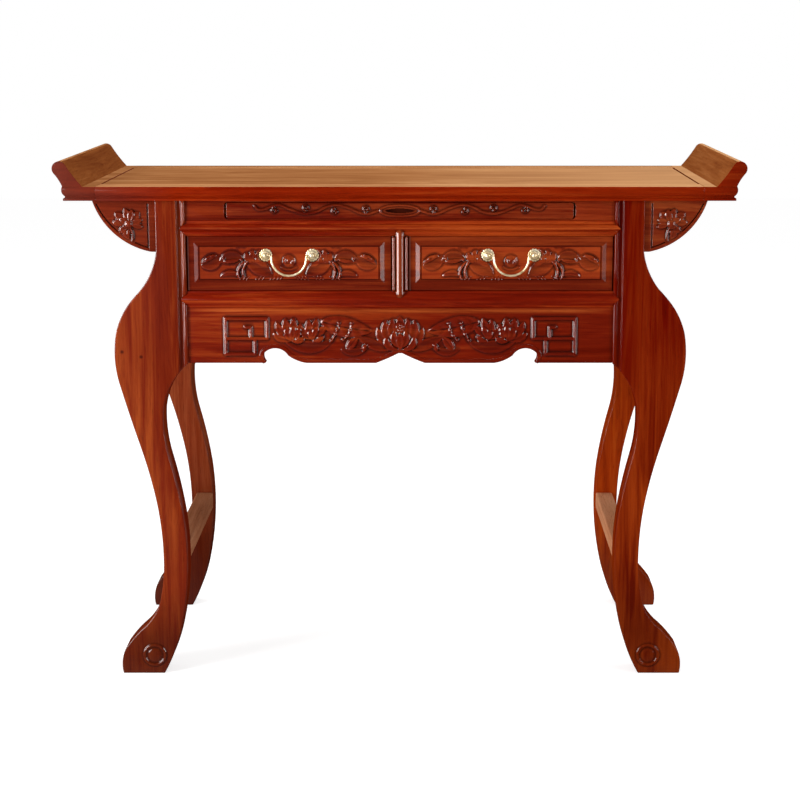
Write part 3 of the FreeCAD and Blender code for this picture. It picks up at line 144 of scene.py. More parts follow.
class Finish(Shader):
    """A material in the making."""

    def __init__(self, name):
        self.material = bpy.data.materials.new(name)
        self.material.use_nodes = True
        super().__init__(self.material.node_tree)
        self.surface = self.tree.nodes["Principled BSDF"]

    def set(self, key, value):
        self.feed(self.surface, key, value)

    def place(self, scale=(1, 1, 1)):
        """The object's own coordinates, scaled to run with the grain."""
        here = self.add("TexCoord", {}, out=3)
        return self.add("Mapping", {}, Vector=here, Scale=scale)

    def spot(self):
        """Where the surface is: across, back and up, in the object's own metres."""
        return self.axes(self.place())

    def below(self, height):
        """One near the floor, falling to nought at a height."""
        return ((self.spot()[2] - height) * (-1.6 / height)).held()

    def noise(self, where, size, detail=3.0, rough=0.55, twist=0.0):
        return self.add(
            "TexNoise",
            {},
            Vector=where,
            Scale=size,
            Detail=detail,
            Roughness=rough,
            Distortion=twist,
        )

    def ramp(self, value, *stops):
        return self.add("ValToRGB", {"stops": list(stops)}, value)

    def mix(self, share, one, other, blend="MIX"):
        node = self.tree.nodes.new("ShaderNodeMix")
        node.data_type = "RGBA"
        node.blend_type = blend
        for key, value in ((0, share), (6, one), (7, other)):
            self.feed(node, key, value)
        return Wire(self, node.outputs[2])

    def bump(self, height, strength, depth):
        return self.add("Bump", {}, Height=height, Strength=strength, Distance=depth)


def tone(red, green, blue):
    """A colour as the eye names it, from 0 to 255, as the shader's linear values."""
    return tuple(
        part / 12.92 if part <= 0.04045 else ((part + 0.055) / 1.055) ** 2.4
        for part in (red / 255, green / 255, blue / 255)
    )


def solid_tone(red, green, blue):
    return (*tone(red, green, blue), 1.0)


ALONG = {"X": (1, 0, 0), "Y": (0, 1, 0), "Z": (0, 0, 1)}


def stretched(axis, along, across):
    return tuple(along if flag else across for flag in ALONG[axis])


# Places of the knots in the left front leg
KNOTS = ((-0.4824, -0.228, 0.5844), (-0.4497, -0.228, 0.5757))
# Pore dark, and a thick-lacquer dark that also paints shade in carved hollows
PORE, GLAZE_AND_SHADE_DARK = solid_tone(44, 9, 4), solid_tone(34, 5, 2)
# Knot dark that also paints shade near the floor, and the orange of painted highlight streaks
KNOT_AND_SHADE_DARK, STREAK_HIGHLIGHT = solid_tone(52, 12, 5), solid_tone(196, 96, 40)
# Painted sheen for the left end of the top's front edge, and a darker right end
SHEEN_END, DARK_END = solid_tone(98, 46, 36), solid_tone(88, 10, 3)
# Drawer fronts: painted frame shade, lighter field, painted shade line round it, painted arris
# glint
FRAME_SHADE, FIELD_LIGHT = solid_tone(66, 20, 12), solid_tone(182, 72, 34)
FIELD_SHADE_LINE, ARRIS_GLINT = solid_tone(50, 8, 5), solid_tone(168, 116, 104)
GLOW = ((0.40, tone(104, 24, 4)), (0.64, tone(176, 72, 18)))
BLACK, WHITE = (0, 0, 0), (1, 1, 1)

# Drawer fronts, in metres: half a front's length, and how far in its painted arris glint runs.
# The sunk field: how far its middle lies from the table's, its height, half its size.
FRONT_HALF, ARRIS_IN = 0.17475, 0.0010
DRAWER_FIELD = (0.19075, 0.7392, 0.1545, 0.0288)


def rosewood_lacquer(
    name,
    axis,
    dark,
    medium,
    light,
    figure=0.5,
    gloss=0.24,
    coat=0.55,
    worn=(0.38, 0.8),
    knots=(),
    lit_streak=None,
    panel=None,
    sheen_and_dark_ends=False,
    foot=None,
    glow=None,
):
    """Clear red lacquer over rosewood: broad cloudy tone, flame figure, fine pores. In
    the hollows of carving the lacquer lies thick and dark, and painted shade darkens them too.

    worn: how far edge on the gloss starts and ends to fade
    dawn: a painted highlight streak, on the apron partly orange figure, by its height and
    half width in mm and how far it runs
    panel: the drawers' sunk fields, lighter than their frame, which has painted shade, with
    a painted shade line round them and a painted glint on each front's left arris
    bloom: whether the left end is greyed by painted sheen and the right end darkened
    foot, glow: the height up to which the wood is darker or warmer, and how much; the
    darker foot is painted shade"""
    wood = Finish(name)
    broad = wood.noise(wood.place(stretched(axis, 1.6, 9.0)), 1.0, 2.0, 0.5, 0.6)
    flame = wood.noise(wood.place(stretched(axis, 2.4, 46.0)), 1.0, 5.0, 0.62, 1.6)
    lines = wood.noise(wood.place(stretched(axis, 5.0, 210.0)), 1.0, 3.0, 0.6, 0.3)
    pores = wood.noise(wood.place(stretched(axis, 45.0, 900.0)), 1.0, 2.0, 0.5)
    mood = (broad * 0.5 + flame * figure + lines * 0.22 - 0.12).held()
    # The streak is a painted highlight, on the apron partly orange figure
    if lit_streak:
        height, half, reach = lit_streak
        across, _, up = wood.spot()
        off = (up * 1000.0 - height).maths("ABSOLUTE")
        band = (off * (-1.2 / half) + 1.2).held()
        band = band * (across.maths("ABSOLUTE") * -14.0 + reach).held()
    colour = wood.ramp(mood, (0.33, dark), (0.49, medium), (0.68, light))
    # Painted highlight streak, broken up by the flame figure
    if lit_streak:
        pale = wood.ramp(flame, (0.40, BLACK), (0.62, WHITE))
        colour = wood.mix((band * (pale * 0.5 + 0.06)).held(), colour, STREAK_HIGHLIGHT)
    fleck = wood.ramp(pores, (0.30, WHITE), (0.42, BLACK))
    colour = wood.mix(fleck * 0.35, colour, PORE)
    for knot in knots:
        off = wood.add("VectorMath", {"operation": "SUBTRACT"}, wood.place(), knot)
        far = wood.add("VectorMath", {"operation": "LENGTH"}, off, out=1)
        core = wood.ramp(far * 100.0, (0.16, WHITE), (0.42, BLACK))
        colour = wood.mix(core * 0.8, colour, KNOT_AND_SHADE_DARK)
    # Painted sheen greys the left end, and the right end is darkened
    if sheen_and_dark_ends:
        across = wood.spot()[0]
        colour = wood.mix((across * -5.0 - 1.9).held() * 0.8, colour, SHEEN_END)
        colour = wood.mix((across * 6.0 - 2.9).held() * 0.9, colour, DARK_END)
    if glow:
        height, share = glow
        colour = wood.mix(wood.below(height) * share, colour, wood.ramp(mood, *GLOW))
    # Painted shade, darker towards the floor
    if foot:
        height, share = foot
        colour = wood.mix(wood.below(height) * share, colour, KNOT_AND_SHADE_DARK)
    if panel:
        centre, height, half_long, half_high = panel
        across, _, up = wood.spot()
        # A painted glint along each front's left arris
        for middle in (-centre, centre):
            arris = ARRIS_IN + middle - FRONT_HALF
            glint = ((across - arris).maths("ABSOLUTE") * -900.0 + 1.2).held()
            colour = wood.mix(glint * 0.5, colour, ARRIS_GLINT)
        # Painted shade on the frame, a lighter field, and a painted shade line round the field
        beside = (across.maths("ABSOLUTE") - centre).maths("ABSOLUTE") - half_long
        above = (up - height).maths("ABSOLUTE") - half_high
        edge = beside.maths("MAXIMUM", above)
        colour = wood.mix((edge * 700.0).held() * 0.3, colour, FRAME_SHADE)
        colour = wood.mix((edge * -700.0).held() * 0.22, colour, FIELD_LIGHT)
        line = edge.maths("ABSOLUTE") * -700.0 + 1.25
        colour = wood.mix(line.held() * 0.85, colour, FIELD_SHADE_LINE)
    # Thick dark lacquer and painted shade in hollows, as the piece's attribute gives it
    glaze = wood.add("Attribute", {"attribute_name": "glaze"}, out=2)
    colour = wood.mix((glaze * 0.92).held(), colour, GLAZE_AND_SHADE_DARK)
    wood.set("Base Color", colour)
    wood.set("Roughness", lines * 0.16 + (gloss - 0.06))
    wood.set("Specular IOR Level", 0.0)
    # Dull where it is seen edge on, as old lacquer is
    edge_on = wood.add("LayerWeight", {}, Blend=0.5, out=1)
    shine = wood.ramp(edge_on, (worn[0], WHITE), (worn[1], BLACK))
    wood.set("Coat Weight", shine * coat)
    wood.set("Coat Roughness", 0.09)
    wood.set("Normal", wood.bump(pores * 0.4 + lines * 0.6, 0.12, 0.0004))
    return wood.material


# Painted highlight streaks: along the rails' crown, and along the apron's upper edge, there
# partly orange figure
RAIL_CROWN_STREAK, APRON_EDGE_STREAK = (798.8, 2.4, 6.4), (655.5, 5.5, 5.1)
# The dark, medium and light tone of each wood
# The left front leg's tones are lighter and hazier, painted light from the left; the divider
# shares them
LEG_TONES = (tone(90, 17, 5), tone(115, 33, 10), tone(148, 62, 22))
APRON_TONES = (tone(84, 10, 1), tone(113, 24, 5), tone(158, 60, 20))
DRAWER_TONES = (tone(84, 13, 3), tone(114, 30, 10), tone(158, 62, 24))
TRAY_TONES = (tone(66, 7, 1), tone(98, 19, 5), tone(150, 60, 26))
BRACKET_TONES = (tone(88, 20, 6), tone(120, 40, 17), tone(158, 74, 34))
# The right front leg's: darker and redder, painted shade, on the same wood as the left
RIGHT_LEG_SHADED_TONES = (tone(80, 4, 0), tone(101, 10, 0), tone(130, 38, 6))
RAIL_TONES = (tone(92, 8, 0), tone(122, 25, 4), tone(170, 66, 20))
EDGE_TONES = (tone(102, 12, 0), tone(136, 34, 5), tone(170, 66, 20))
SIDE_TONES = (tone(82, 10, 2), tone(108, 26, 8), tone(140, 52, 22))
FRIEZE_TONES = (tone(80, 12, 3), tone(108, 27, 9), tone(144, 52, 20))
# The left back leg's browner tones are painted haze; the right back leg's are redder
BACK_LEG_TONES = (tone(94, 26, 10), tone(118, 44, 19), tone(148, 72, 40))
RED_BACK_LEG_TONES = (tone(116, 27, 3), tone(150, 50, 8), tone(178, 76, 18))
STRETCHER_TONES = (tone(132, 78, 52), tone(160, 103, 72), tone(182, 128, 95))
PALE_STRETCHER_TONES = (tone(156, 96, 64), tone(186, 122, 86), tone(206, 148, 110))
FLANGE_TONES = (tone(102, 50, 22), tone(126, 70, 33), tone(150, 94, 52))
BOARD_TONES = (tone(120, 78, 46), tone(158, 112, 72), tone(182, 138, 96))

leg_wood = rosewood_lacquer(
    "leg_rosewood", "Z", *LEG_TONES, 0.6, knots=KNOTS, foot=(0.16, 0.6)
)
# The right front leg's shaded copy of the leg wood: painted shade
right_leg_wood = rosewood_lacquer(
    "red_leg_rosewood", "Z", *RIGHT_LEG_SHADED_TONES, 0.6, coat=0.25, foot=(0.22, 0.42), glow=(0.6, 0.6)
)
long_wood = rosewood_lacquer("rail_rosewood", "X", *RAIL_TONES, 0.6, lit_streak=RAIL_CROWN_STREAK)
apron_wood = rosewood_lacquer("apron_rosewood", "X", *APRON_TONES, lit_streak=APRON_EDGE_STREAK)
edge_wood = rosewood_lacquer("maroon_edge", "X", *EDGE_TONES, coat=0.12, sheen_and_dark_ends=True)
side_wood = rosewood_lacquer("side_rosewood", "Y", *SIDE_TONES)
bracket_wood = rosewood_lacquer("bracket_rosewood", "X", *BRACKET_TONES, 0.45)
drawer_wood = rosewood_lacquer(
    "drawer_rosewood", "X", *DRAWER_TONES, 0.6, coat=0.2, panel=DRAWER_FIELD
)
frieze_wood = rosewood_lacquer("frieze_rosewood", "X", *FRIEZE_TONES, 0.6)
tray_wood = rosewood_lacquer("tray_rosewood", "X", *TRAY_TONES, 0.55)
# The back legs get painted shade towards the floor
back_leg_wood = rosewood_lacquer(
    "back_leg_rosewood", "Z", *BACK_LEG_TONES, coat=0.2, foot=(0.34, 0.7)
)
red_back_leg_wood = rosewood_lacquer(
    "red_back_leg", "Z", *RED_BACK_LEG_TONES, coat=0.15, foot=(0.2, 0.5)
)
# The stretchers, a light dull brown, the right one paler
stretcher_wood = rosewood_lacquer(
    "dull_brown_stretcher", "Y", *STRETCHER_TONES, gloss=0.5, coat=0.0
)
pale_stretcher_wood = rosewood_lacquer(
    "pale_stretcher", "Y", *PALE_STRETCHER_TONES, gloss=0.5, coat=0.0
)
flange_wood = rosewood_lacquer("flange_face", "Y", *FLANGE_TONES, coat=0.0)
plain_wood = rosewood_lacquer("inside_boards", "Y", *BOARD_TONES, gloss=0.6, coat=0.0)

# The carvings are polished more than their ground
POLISH = {"coat": 1.0, "worn": (0.6, 0.98)}
carved_leg = rosewood_lacquer("polished_leg", "Z", *LEG_TONES, 0.6, **POLISH)
carved_apron = rosewood_lacquer("polished_apron", "X", *APRON_TONES, lit_streak=APRON_EDGE_STREAK, **POLISH)
carved_drawer = rosewood_lacquer("polished_drawer", "X", *DRAWER_TONES, 0.6, **POLISH)
carved_tray = rosewood_lacquer("polished_tray", "X", *TRAY_TONES, 0.55, **POLISH)
carved_bracket = rosewood_lacquer("polished_bracket", "X", *BRACKET_TONES, 0.45, **POLISH)


def sheen_painted_lacquer(name, dark, middle, light, dusk=None, joint=None):
    """The top's upper faces: the same lacquer under a painted warm reflection, so it reads
    tan, and paler to the right by painted reflection. From dusk, a distance to the back,
    it is darker brown. Beyond the joint, a distance to either side, the panel is black in
    its groove."""
    wood = Finish(name)
    cloud = wood.noise(wood.place((2.6, 9.0, 1.0)), 1.0, 3.0, 0.6, 1.2)
    grain = wood.noise(wood.place((2.6, 60.0, 8.0)), 1.0, 5.0, 0.6, 1.1)
    lines = wood.noise(wood.place((6.0, 300.0, 20.0)), 1.0, 2.0, 0.5, 0.2)
    mood = (cloud * 0.74 + grain * 0.4 + lines * 0.2 - 0.18).held()
    colour = wood.ramp(mood, (0.33, dark), (0.5, middle), (0.67, light))
    across = wood.spot()[0]
    # Painted reflection, paler to the right
    colour = wood.mix((across * 1.5).held() * 0.55, colour, solid_tone(216, 168, 120))
    if dusk:
        back = wood.spot()[1]
        late = (back * 200.0 - dusk * 200.0).held()
        colour = wood.mix(late * 0.8, colour, solid_tone(104, 62, 36))
    if joint:
        beyond = (across.maths("ABSOLUTE") * 2000.0 - joint * 2000.0).held()
        colour = wood.mix(beyond, colour, solid_tone(46, 16, 8))
    wood.set("Base Color", colour)
    wood.set("Roughness", lines * 0.15 + 0.3)
    wood.set("Specular IOR Level", 0.0)
    wood.set("Normal", wood.bump(lines, 0.08, 0.0004))
    return wood.material


# How far the panel's tongue reaches into its groove, and how wide the darker far edge is
TONGUE, DARK_FAR_EDGE = 0.0104, 0.018
# Tan tones of the top's upper faces: the red lacquer under painted reflection
SHEEN_PAINTED_TONES = (tone(132, 80, 44), tone(156, 103, 62), tone(178, 126, 82))
RIM_SHEEN_PAINTED_TONES = (tone(158, 104, 66), tone(180, 126, 82), tone(200, 150, 104))
top_wood = sheen_painted_lacquer(
    "panel_painted_sheen", *SHEEN_PAINTED_TONES, joint=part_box("top_panel")[1][0] - TONGUE
)
strip_wood = sheen_painted_lacquer("strip_painted_sheen", *SHEEN_PAINTED_TONES)
rim_wood = sheen_painted_lacquer("rim_painted_sheen", *RIM_SHEEN_PAINTED_TONES)
far_rim_wood = sheen_painted_lacquer("far_rim", *SHEEN_PAINTED_TONES, dusk=cad_high[1] - DARK_FAR_EDGE)


def pale_brass():
    metal = Finish("pale_brass")
    cloud = metal.noise(metal.place(), 90.0, 4.0, 0.6, 0.4)
    tones = (0.3, tone(206, 176, 122)), (0.5, tone(244, 222, 176)), (0.7, tone(252, 242, 214))
    colour = metal.ramp(cloud, *tones)
    # Darker brass where the plate marks painted shade
    glaze = metal.add("Attribute", {"attribute_name": "glaze"}, out=2)
    metal.set("Base Color", metal.mix(glaze.held(), colour, solid_tone(120, 84, 40)))
    metal.set("Metallic", 0.55)
    metal.set("Roughness", cloud * 0.2 + 0.26)
    metal.set("Normal", metal.bump(cloud, 0.1, 0.0005))
    return metal.material


brass = pale_brass()

# The start of a piece's name, its finish, and how far its arrises are rounded
FINISHES = (
    ("handle", brass, 0.0),
    ("top_panel", top_wood, 0.0006),
    ("top_batten", plain_wood, 0.0005),
    ("top_rail", edge_wood, 0.0006),
    ("end_scroll", side_wood, 0.0006),
    ("leg_front_left", leg_wood, 0.0015),
    ("leg_front_right", right_leg_wood, 0.0015),
    ("leg_back_left", back_leg_wood, 0.002),
    ("leg_back_right", red_back_leg_wood, 0.002),
    ("stretcher_left", stretcher_wood, 0.001),
    ("stretcher_right", pale_stretcher_wood, 0.001),
    ("bracket", bracket_wood, 0.0008),
    ("apron", apron_wood, 0.001),
    ("side_", side_wood, 0.001),
    ("back_", long_wood, 0.001),
    ("frieze", frieze_wood, 0.001),
    ("drawer_rail", long_wood, 0.0004),
    ("drawer_divider", leg_wood, 0.0004),
    ("drawer_runner", plain_wood, 0.0005),
    ("tray_runner", plain_wood, 0.0005),
    ("tray_board", plain_wood, 0.0008),
    ("tray_front", tray_wood, 0.0008),
    ("drawer_left_front", drawer_wood, 0.0),
    ("drawer_right_front", drawer_wood, 0.0),
    ("drawer_", plain_wood, 0.0008),
    ("", long_wood, 0.001),
)
PIERCED = ("drawer_left_front", "drawer_right_front")

# In metres: how much slimmer the bails are drawn, what depth behind its face is inside a
# bracket's groove and inside the finger recess, and half the recess's length
SLIMMER = 0.0004
GROOVE, RECESS, RECESS_HALF = (0.0008, 0.004), (0.001, 0.012), 0.032


def darkened(piece, inside):
    """Lets thick dark lacquer and painted shade lie in a hollow: wherever inside() is true of
    a place.
    """
    shade = piece.data.attributes.new("glaze", "FLOAT", "POINT")
    for spot, point in zip(shade.data, piece.data.vertices):
        spot.value = 0.85 if inside(point.co) else 0.0


def carried(piece, node, finish):
    """Gives a new piece its finish, and the body of the CAD piece it is on."""
    piece.data.materials.clear()
    piece.data.materials.append(finish)
    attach(piece, NODE_BODY[node])
    return piece


def rounded_copy(node, width):
    """A copy of a CAD piece with its triangles joined and its arrises rounded."""
    mesh = frame["nodes"][node].data.copy()
    shell = bmesh.new()
    shell.from_mesh(mesh)
    bmesh.ops.remove_doubles(shell, verts=shell.verts, dist=1e-6)
    if node not in PIERCED:
        bmesh.ops.dissolve_limit(
            shell,
            angle_limit=0.004,
            verts=shell.verts,
            edges=shell.edges,
            use_dissolve_boundaries=False,
        )
    for face in shell.faces:
        face.smooth = True
    shell.to_mesh(mesh)
    shell.free()
    piece = bpy.data.objects.new(node + "_rounded", mesh)
    bpy.context.scene.collection.objects.link(piece)
    if width:
        arris = piece.modifiers.new("arris", "BEVEL")
        arris.width = width
        arris.segments = 3
        arris.limit_method = "ANGLE"
        arris.angle_limit = math.radians(32)
        arris.harden_normals = True
        arris.use_clamp_overlap = False
        depsgraph = bpy.context.evaluated_depsgraph_get()
        piece.data = bpy.data.meshes.new_from_object(piece.evaluated_get(depsgraph))
        piece.modifiers.clear()
    else:
        piece.data.set_sharp_from_angle(angle=math.radians(12 if node in PIERCED else 44))
    return piece


def paint_top_faces(piece, node):
    """Paints the upper faces of the top's frame in the tan of painted reflection, and a
    flange's inner and front faces.
    """
    side = 1 if node.endswith("right") else -1
    finishes = piece.data.materials
    level = strip_wood if node.startswith("end") else rim_wood
    for finish in (far_rim_wood if node.endswith("back") else level, flange_wood, edge_wood):
        finishes.append(finish)
    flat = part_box("top_rail_front")[1][2] - 0.0015
    for face in piece.data.polygons:
        across, back, up = face.normal
        if face.center.z < flat or abs(back) > 0.6:
            face.material_index = 3
        elif up > 0.97:
            face.material_index = 1
        elif node.startswith("end") and across * side < 0.35:
            face.material_index = 2


for node in NODE_BODY:
    finish, width = next((f, w) for start, f, w in FINISHES if node.startswith(start))
    if node.endswith("rosettes") or node == "drawer_divider":
        continue
    piece = rounded_copy(node, width)
    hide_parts(node)
    carried(piece, node, finish)
    if node.startswith(("top_rail", "end_scroll")):
        paint_top_faces(piece, node)
    if node.endswith("bail"):
        for point in piece.data.vertices:
            point.co -= point.normal * SLIMMER
    if node.startswith("bracket"):
        turn = 1 if "front" in node else -1
        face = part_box(node)[0][1] if turn > 0 else -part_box(node)[1][1]
        # Thick dark lacquer and painted shade in the bracket's groove
        darkened(piece, lambda at: face + GROOVE[0] < at.y * turn < face + GROOVE[1])
    if node == "tray_front":
        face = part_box(node)[0][1]
        # Painted shade and thick dark lacquer in the finger recess
        darkened(
            piece,
            lambda at: abs(at.x) < RECESS_HALF
            and face + RECESS[0] < at.y < face + RECESS[1],
        )


# Carving

# How far the carved faces lie before the middle of the table, in millimetres
STAND_FACE, TRAY_FACE, LEG_FACE, POST_FACE = 222.0, 223.5, 228.0, 222.6
# The handles, in millimetres: how far the drawers' middles lie from the table's, how far
# the plates lie from those, and how high
DRAWER_MIDDLE, PLATE_OUT, PLATE_UP = 190.75, 40, 753.0


def bent(start, bend, end, count=16):
    """A path from start to end that leans towards bend."""
    share = np.linspace(0.0, 1.0, count)[:, None]
    start, bend, end = (np.array(place, float) for place in (start, bend, end))
    return start * (1 - share) ** 2 + bend * 2 * share * (1 - share) + end * share**2


def flowing(*places, steps=8):
    """A smooth path through the places."""
    places = np.array([places[0], *places, places[-1]], float)
    share = np.linspace(0.0, 1.0, steps, endpoint=False)[:, None]
    path = []
    for a, b, c, d in zip(places, places[1:], places[2:], places[3:]):
        path.append(
            0.5
            * (
                2 * b
                + (c - a) * share
                + (2 * a - 5 * b + 4 * c - d) * share**2
                + (3 * b - a - 3 * c + d) * share**3
            )
        )
    return np.vstack([*path, places[-1:]])


def curl(x, z, radius, begin, turns):
    """A spiral from its outer end, at an angle in degrees, in to the middle."""
    share = np.linspace(0.0, 1.0, 26)
    angle = math.radians(begin) + share * turns * 2 * math.pi
    reach = radius * (1 - 0.85 * share)
    return np.stack([x + reach * np.cos(angle), z + reach * np.sin(angle)], axis=1)


class Carving:
    """A carved field: heights in millimetres over a flat face, on a fine grid."""

    def __init__(self, left, right, low, high, step=0.8):
        across, up = np.arange(left, right + step, step), np.arange(low, high + step, step)
        self.step = step
        self.x, self.z = np.meshgrid(across, up)
        self.height = np.zeros_like(self.x)
        # How much painted shade lies in each place's hollow, on top of what the heights give
        self.bed = np.zeros_like(self.x)

    def near(self, path):
        """How far each place lies from a path, to which side, and how far along it."""
        best = np.full(self.x.shape, 1e9)
        side, along = np.zeros_like(best), np.zeros_like(best)
        runs = np.hypot(*np.diff(path, axis=0).T)
        total, gone = runs.sum(), 0.0
        for (x0, z0), (x1, z1), run in zip(path, path[1:], runs):
            dx, dz = (x1 - x0) / run, (z1 - z0) / run
            step = np.clip((self.x - x0) * dx + (self.z - z0) * dz, 0.0, run)
            off_x, off_z = self.x - x0 - step * dx, self.z - z0 - step * dz
            far = np.hypot(off_x, off_z)
            closer = far < best
            best = np.where(closer, far, best)
            side = np.where(closer, np.sign(dx * off_z - dz * off_x) * far, side)
            along = np.where(closer, (gone + step) / total, along)
            gone += run
        return best, side, along

    def lay(self, form, base=0.0):
        """Lays a form over the others and hides what is under it."""
        self.height = np.where(form > 0, form + base, self.height)
        self.bed = np.where(form > 0, 0.0, self.bed)

    def blade(self, path, width, height, base=0.0, swell=0.5, vein=0.35, ribs=0, cup=0.0):
        """A leaf or petal along a path, pointed at both ends, widest at its swell."""
        far, side, along = self.near(path)
        bias = math.log(0.5) / math.log(swell)
        half = 0.5 * width * np.clip(np.sin(np.pi * along**bias), 0.0, 1.0) ** 0.75 + 1e-6
        share = np.clip(far / half, 0.0, 1.0)
        round_off = np.sqrt(1 - share**4)
        form = height * round_off * (1 - cup * (1 - share**2))
        form *= 0.7 + 0.3 * np.sin(np.pi * along)
        form -= vein * height * np.exp(-((side / 0.9) ** 2)) * round_off
        if ribs:
            wave = np.cos(2 * np.pi * (ribs * along - 0.6 * share))
            form += 0.16 * height * wave * round_off
        self.lay(np.where(share < 1, np.maximum(form, 0.05), 0.0), base)
        # The cupped leaf's inside gets painted shade
        if cup > 0.65:
            sunk = 0.7 * np.clip(1.1 - share**3, 0.0, 1.0)
            sunk = sunk * np.clip(side / half + 0.9, 0.0, 1.0)
            self.bed = np.where(share < 1, np.maximum(sunk, self.bed), self.bed)

    def rod(self, path, width, height, base=0.0, taper=0.0):
        """A half-round stem along a path, thinner towards its end by the taper."""
        far, _, along = self.near(path)
        half = 0.5 * width * (1 - taper * along)
        share = np.clip(far / half, 0.0, 1.0)
        self.lay(height * np.sqrt(1 - share**2), base)

    def bar(self, path, width, height):
        """A flat-topped fret bar with eased arrises."""
        far = self.near(np.array(path, float))[0]
        form = np.clip((0.5 * width - far) / 0.9, 0.0, 1.0) * height
        self.height = np.maximum(self.height, form)

    def dome(self, x, z, radius, height, base=0.0):
        share = np.clip(np.hypot(self.x - x, self.z - z) / radius, 0.0, 1.0)
        self.lay(height * np.sqrt(1 - share**2), base)

    def mirror(self, middle=0.0):
        """Repeats the left half on the right, turned over."""
        at = np.searchsorted(self.x[0], middle)
        left = self.height[:, :at]
        width = min(left.shape[1], self.height.shape[1] - at)
        self.height[:, at : at + width] = left[:, ::-1][:, :width]
        self.bed[:, at : at + width] = self.bed[:, :at][:, ::-1][:, :width]

    @staticmethod
    def softened(field, times):
        for _ in range(times):
            for axis in (0, 1):
                field = (
                    np.roll(field, 1, axis) + 2 * field + np.roll(field, -1, axis)
                ) / 4
        return field

    def piece(self, name, node, face, finish, flip=False, keep=None, back=0.6):
        """The carving as a closed piece that lies on the node's front face."""
        height = self.softened(self.height, 1)
        # Thick dark lacquer and painted shade: in hollows between forms, on the ground round
        # them, and where marked
        broad = self.softened(self.height, 9)
        glaze = np.clip((broad - height) / 0.8, 0.0, 1.0) ** 0.7
        ground = np.clip((self.softened(self.height, 45) - height) / 1.6, 0.0, 0.5)
        glaze = np.maximum(np.maximum(glaze, ground), self.softened(self.bed, 1) * 0.6)
        if keep is None:
            keep = self.softened(self.height, 14) > 0.03
        keep[[0, -1], :] = keep[:, [0, -1]] = False
        cells = keep[:-1, :-1] & keep[1:, :-1] & keep[:-1, 1:] & keep[1:, 1:]
        rows, columns = np.nonzero(cells)
        width = self.x.shape[1]
        corner = rows * width + columns
        quads = np.stack([corner, corner + 1, corner + width + 1, corner + width], axis=1)
        used, quads = np.unique(quads, return_inverse=True)
        quads = quads.reshape(-1, 4)
        x, z = self.x.ravel()[used], self.z.ravel()[used]
        if flip:
            x, quads = -x, quads[:, ::-1]
        front = -(face + 0.05 + height.ravel()[used])
        rear = np.full_like(front, back - face)
        count = len(used)
        places = np.concatenate(
            [np.stack([x, front, z], axis=1), np.stack([x, rear, z], axis=1)]
        )
        edges = np.concatenate([quads[:, [a, (a + 1) % 4]] for a in range(4)])
        keys = edges[:, 0] * count + edges[:, 1]
        twins = edges[:, 1] * count + edges[:, 0]
        rim = edges[~np.isin(keys, twins)]
        walls = np.stack([rim[:, 1], rim[:, 0], rim[:, 0] + count, rim[:, 1] + count], axis=1)
        faces = np.concatenate([quads, quads[:, ::-1] + count, walls])
        mesh = bpy.data.meshes.new(name)
        mesh.from_pydata((places * MM).tolist(), [], faces.tolist())
        mesh.polygons.foreach_set("use_smooth", [True] * len(faces))
        mesh.set_sharp_from_angle(angle=math.radians(72))
        shade = mesh.attributes.new("glaze", "FLOAT", "POINT")
        shade.data.foreach_set("value", np.tile(glaze.ravel()[used], 2))
        carving = bpy.data.objects.new(name, mesh)
        bpy.context.scene.collection.objects.link(carving)
        return carried(carving, node, finish)


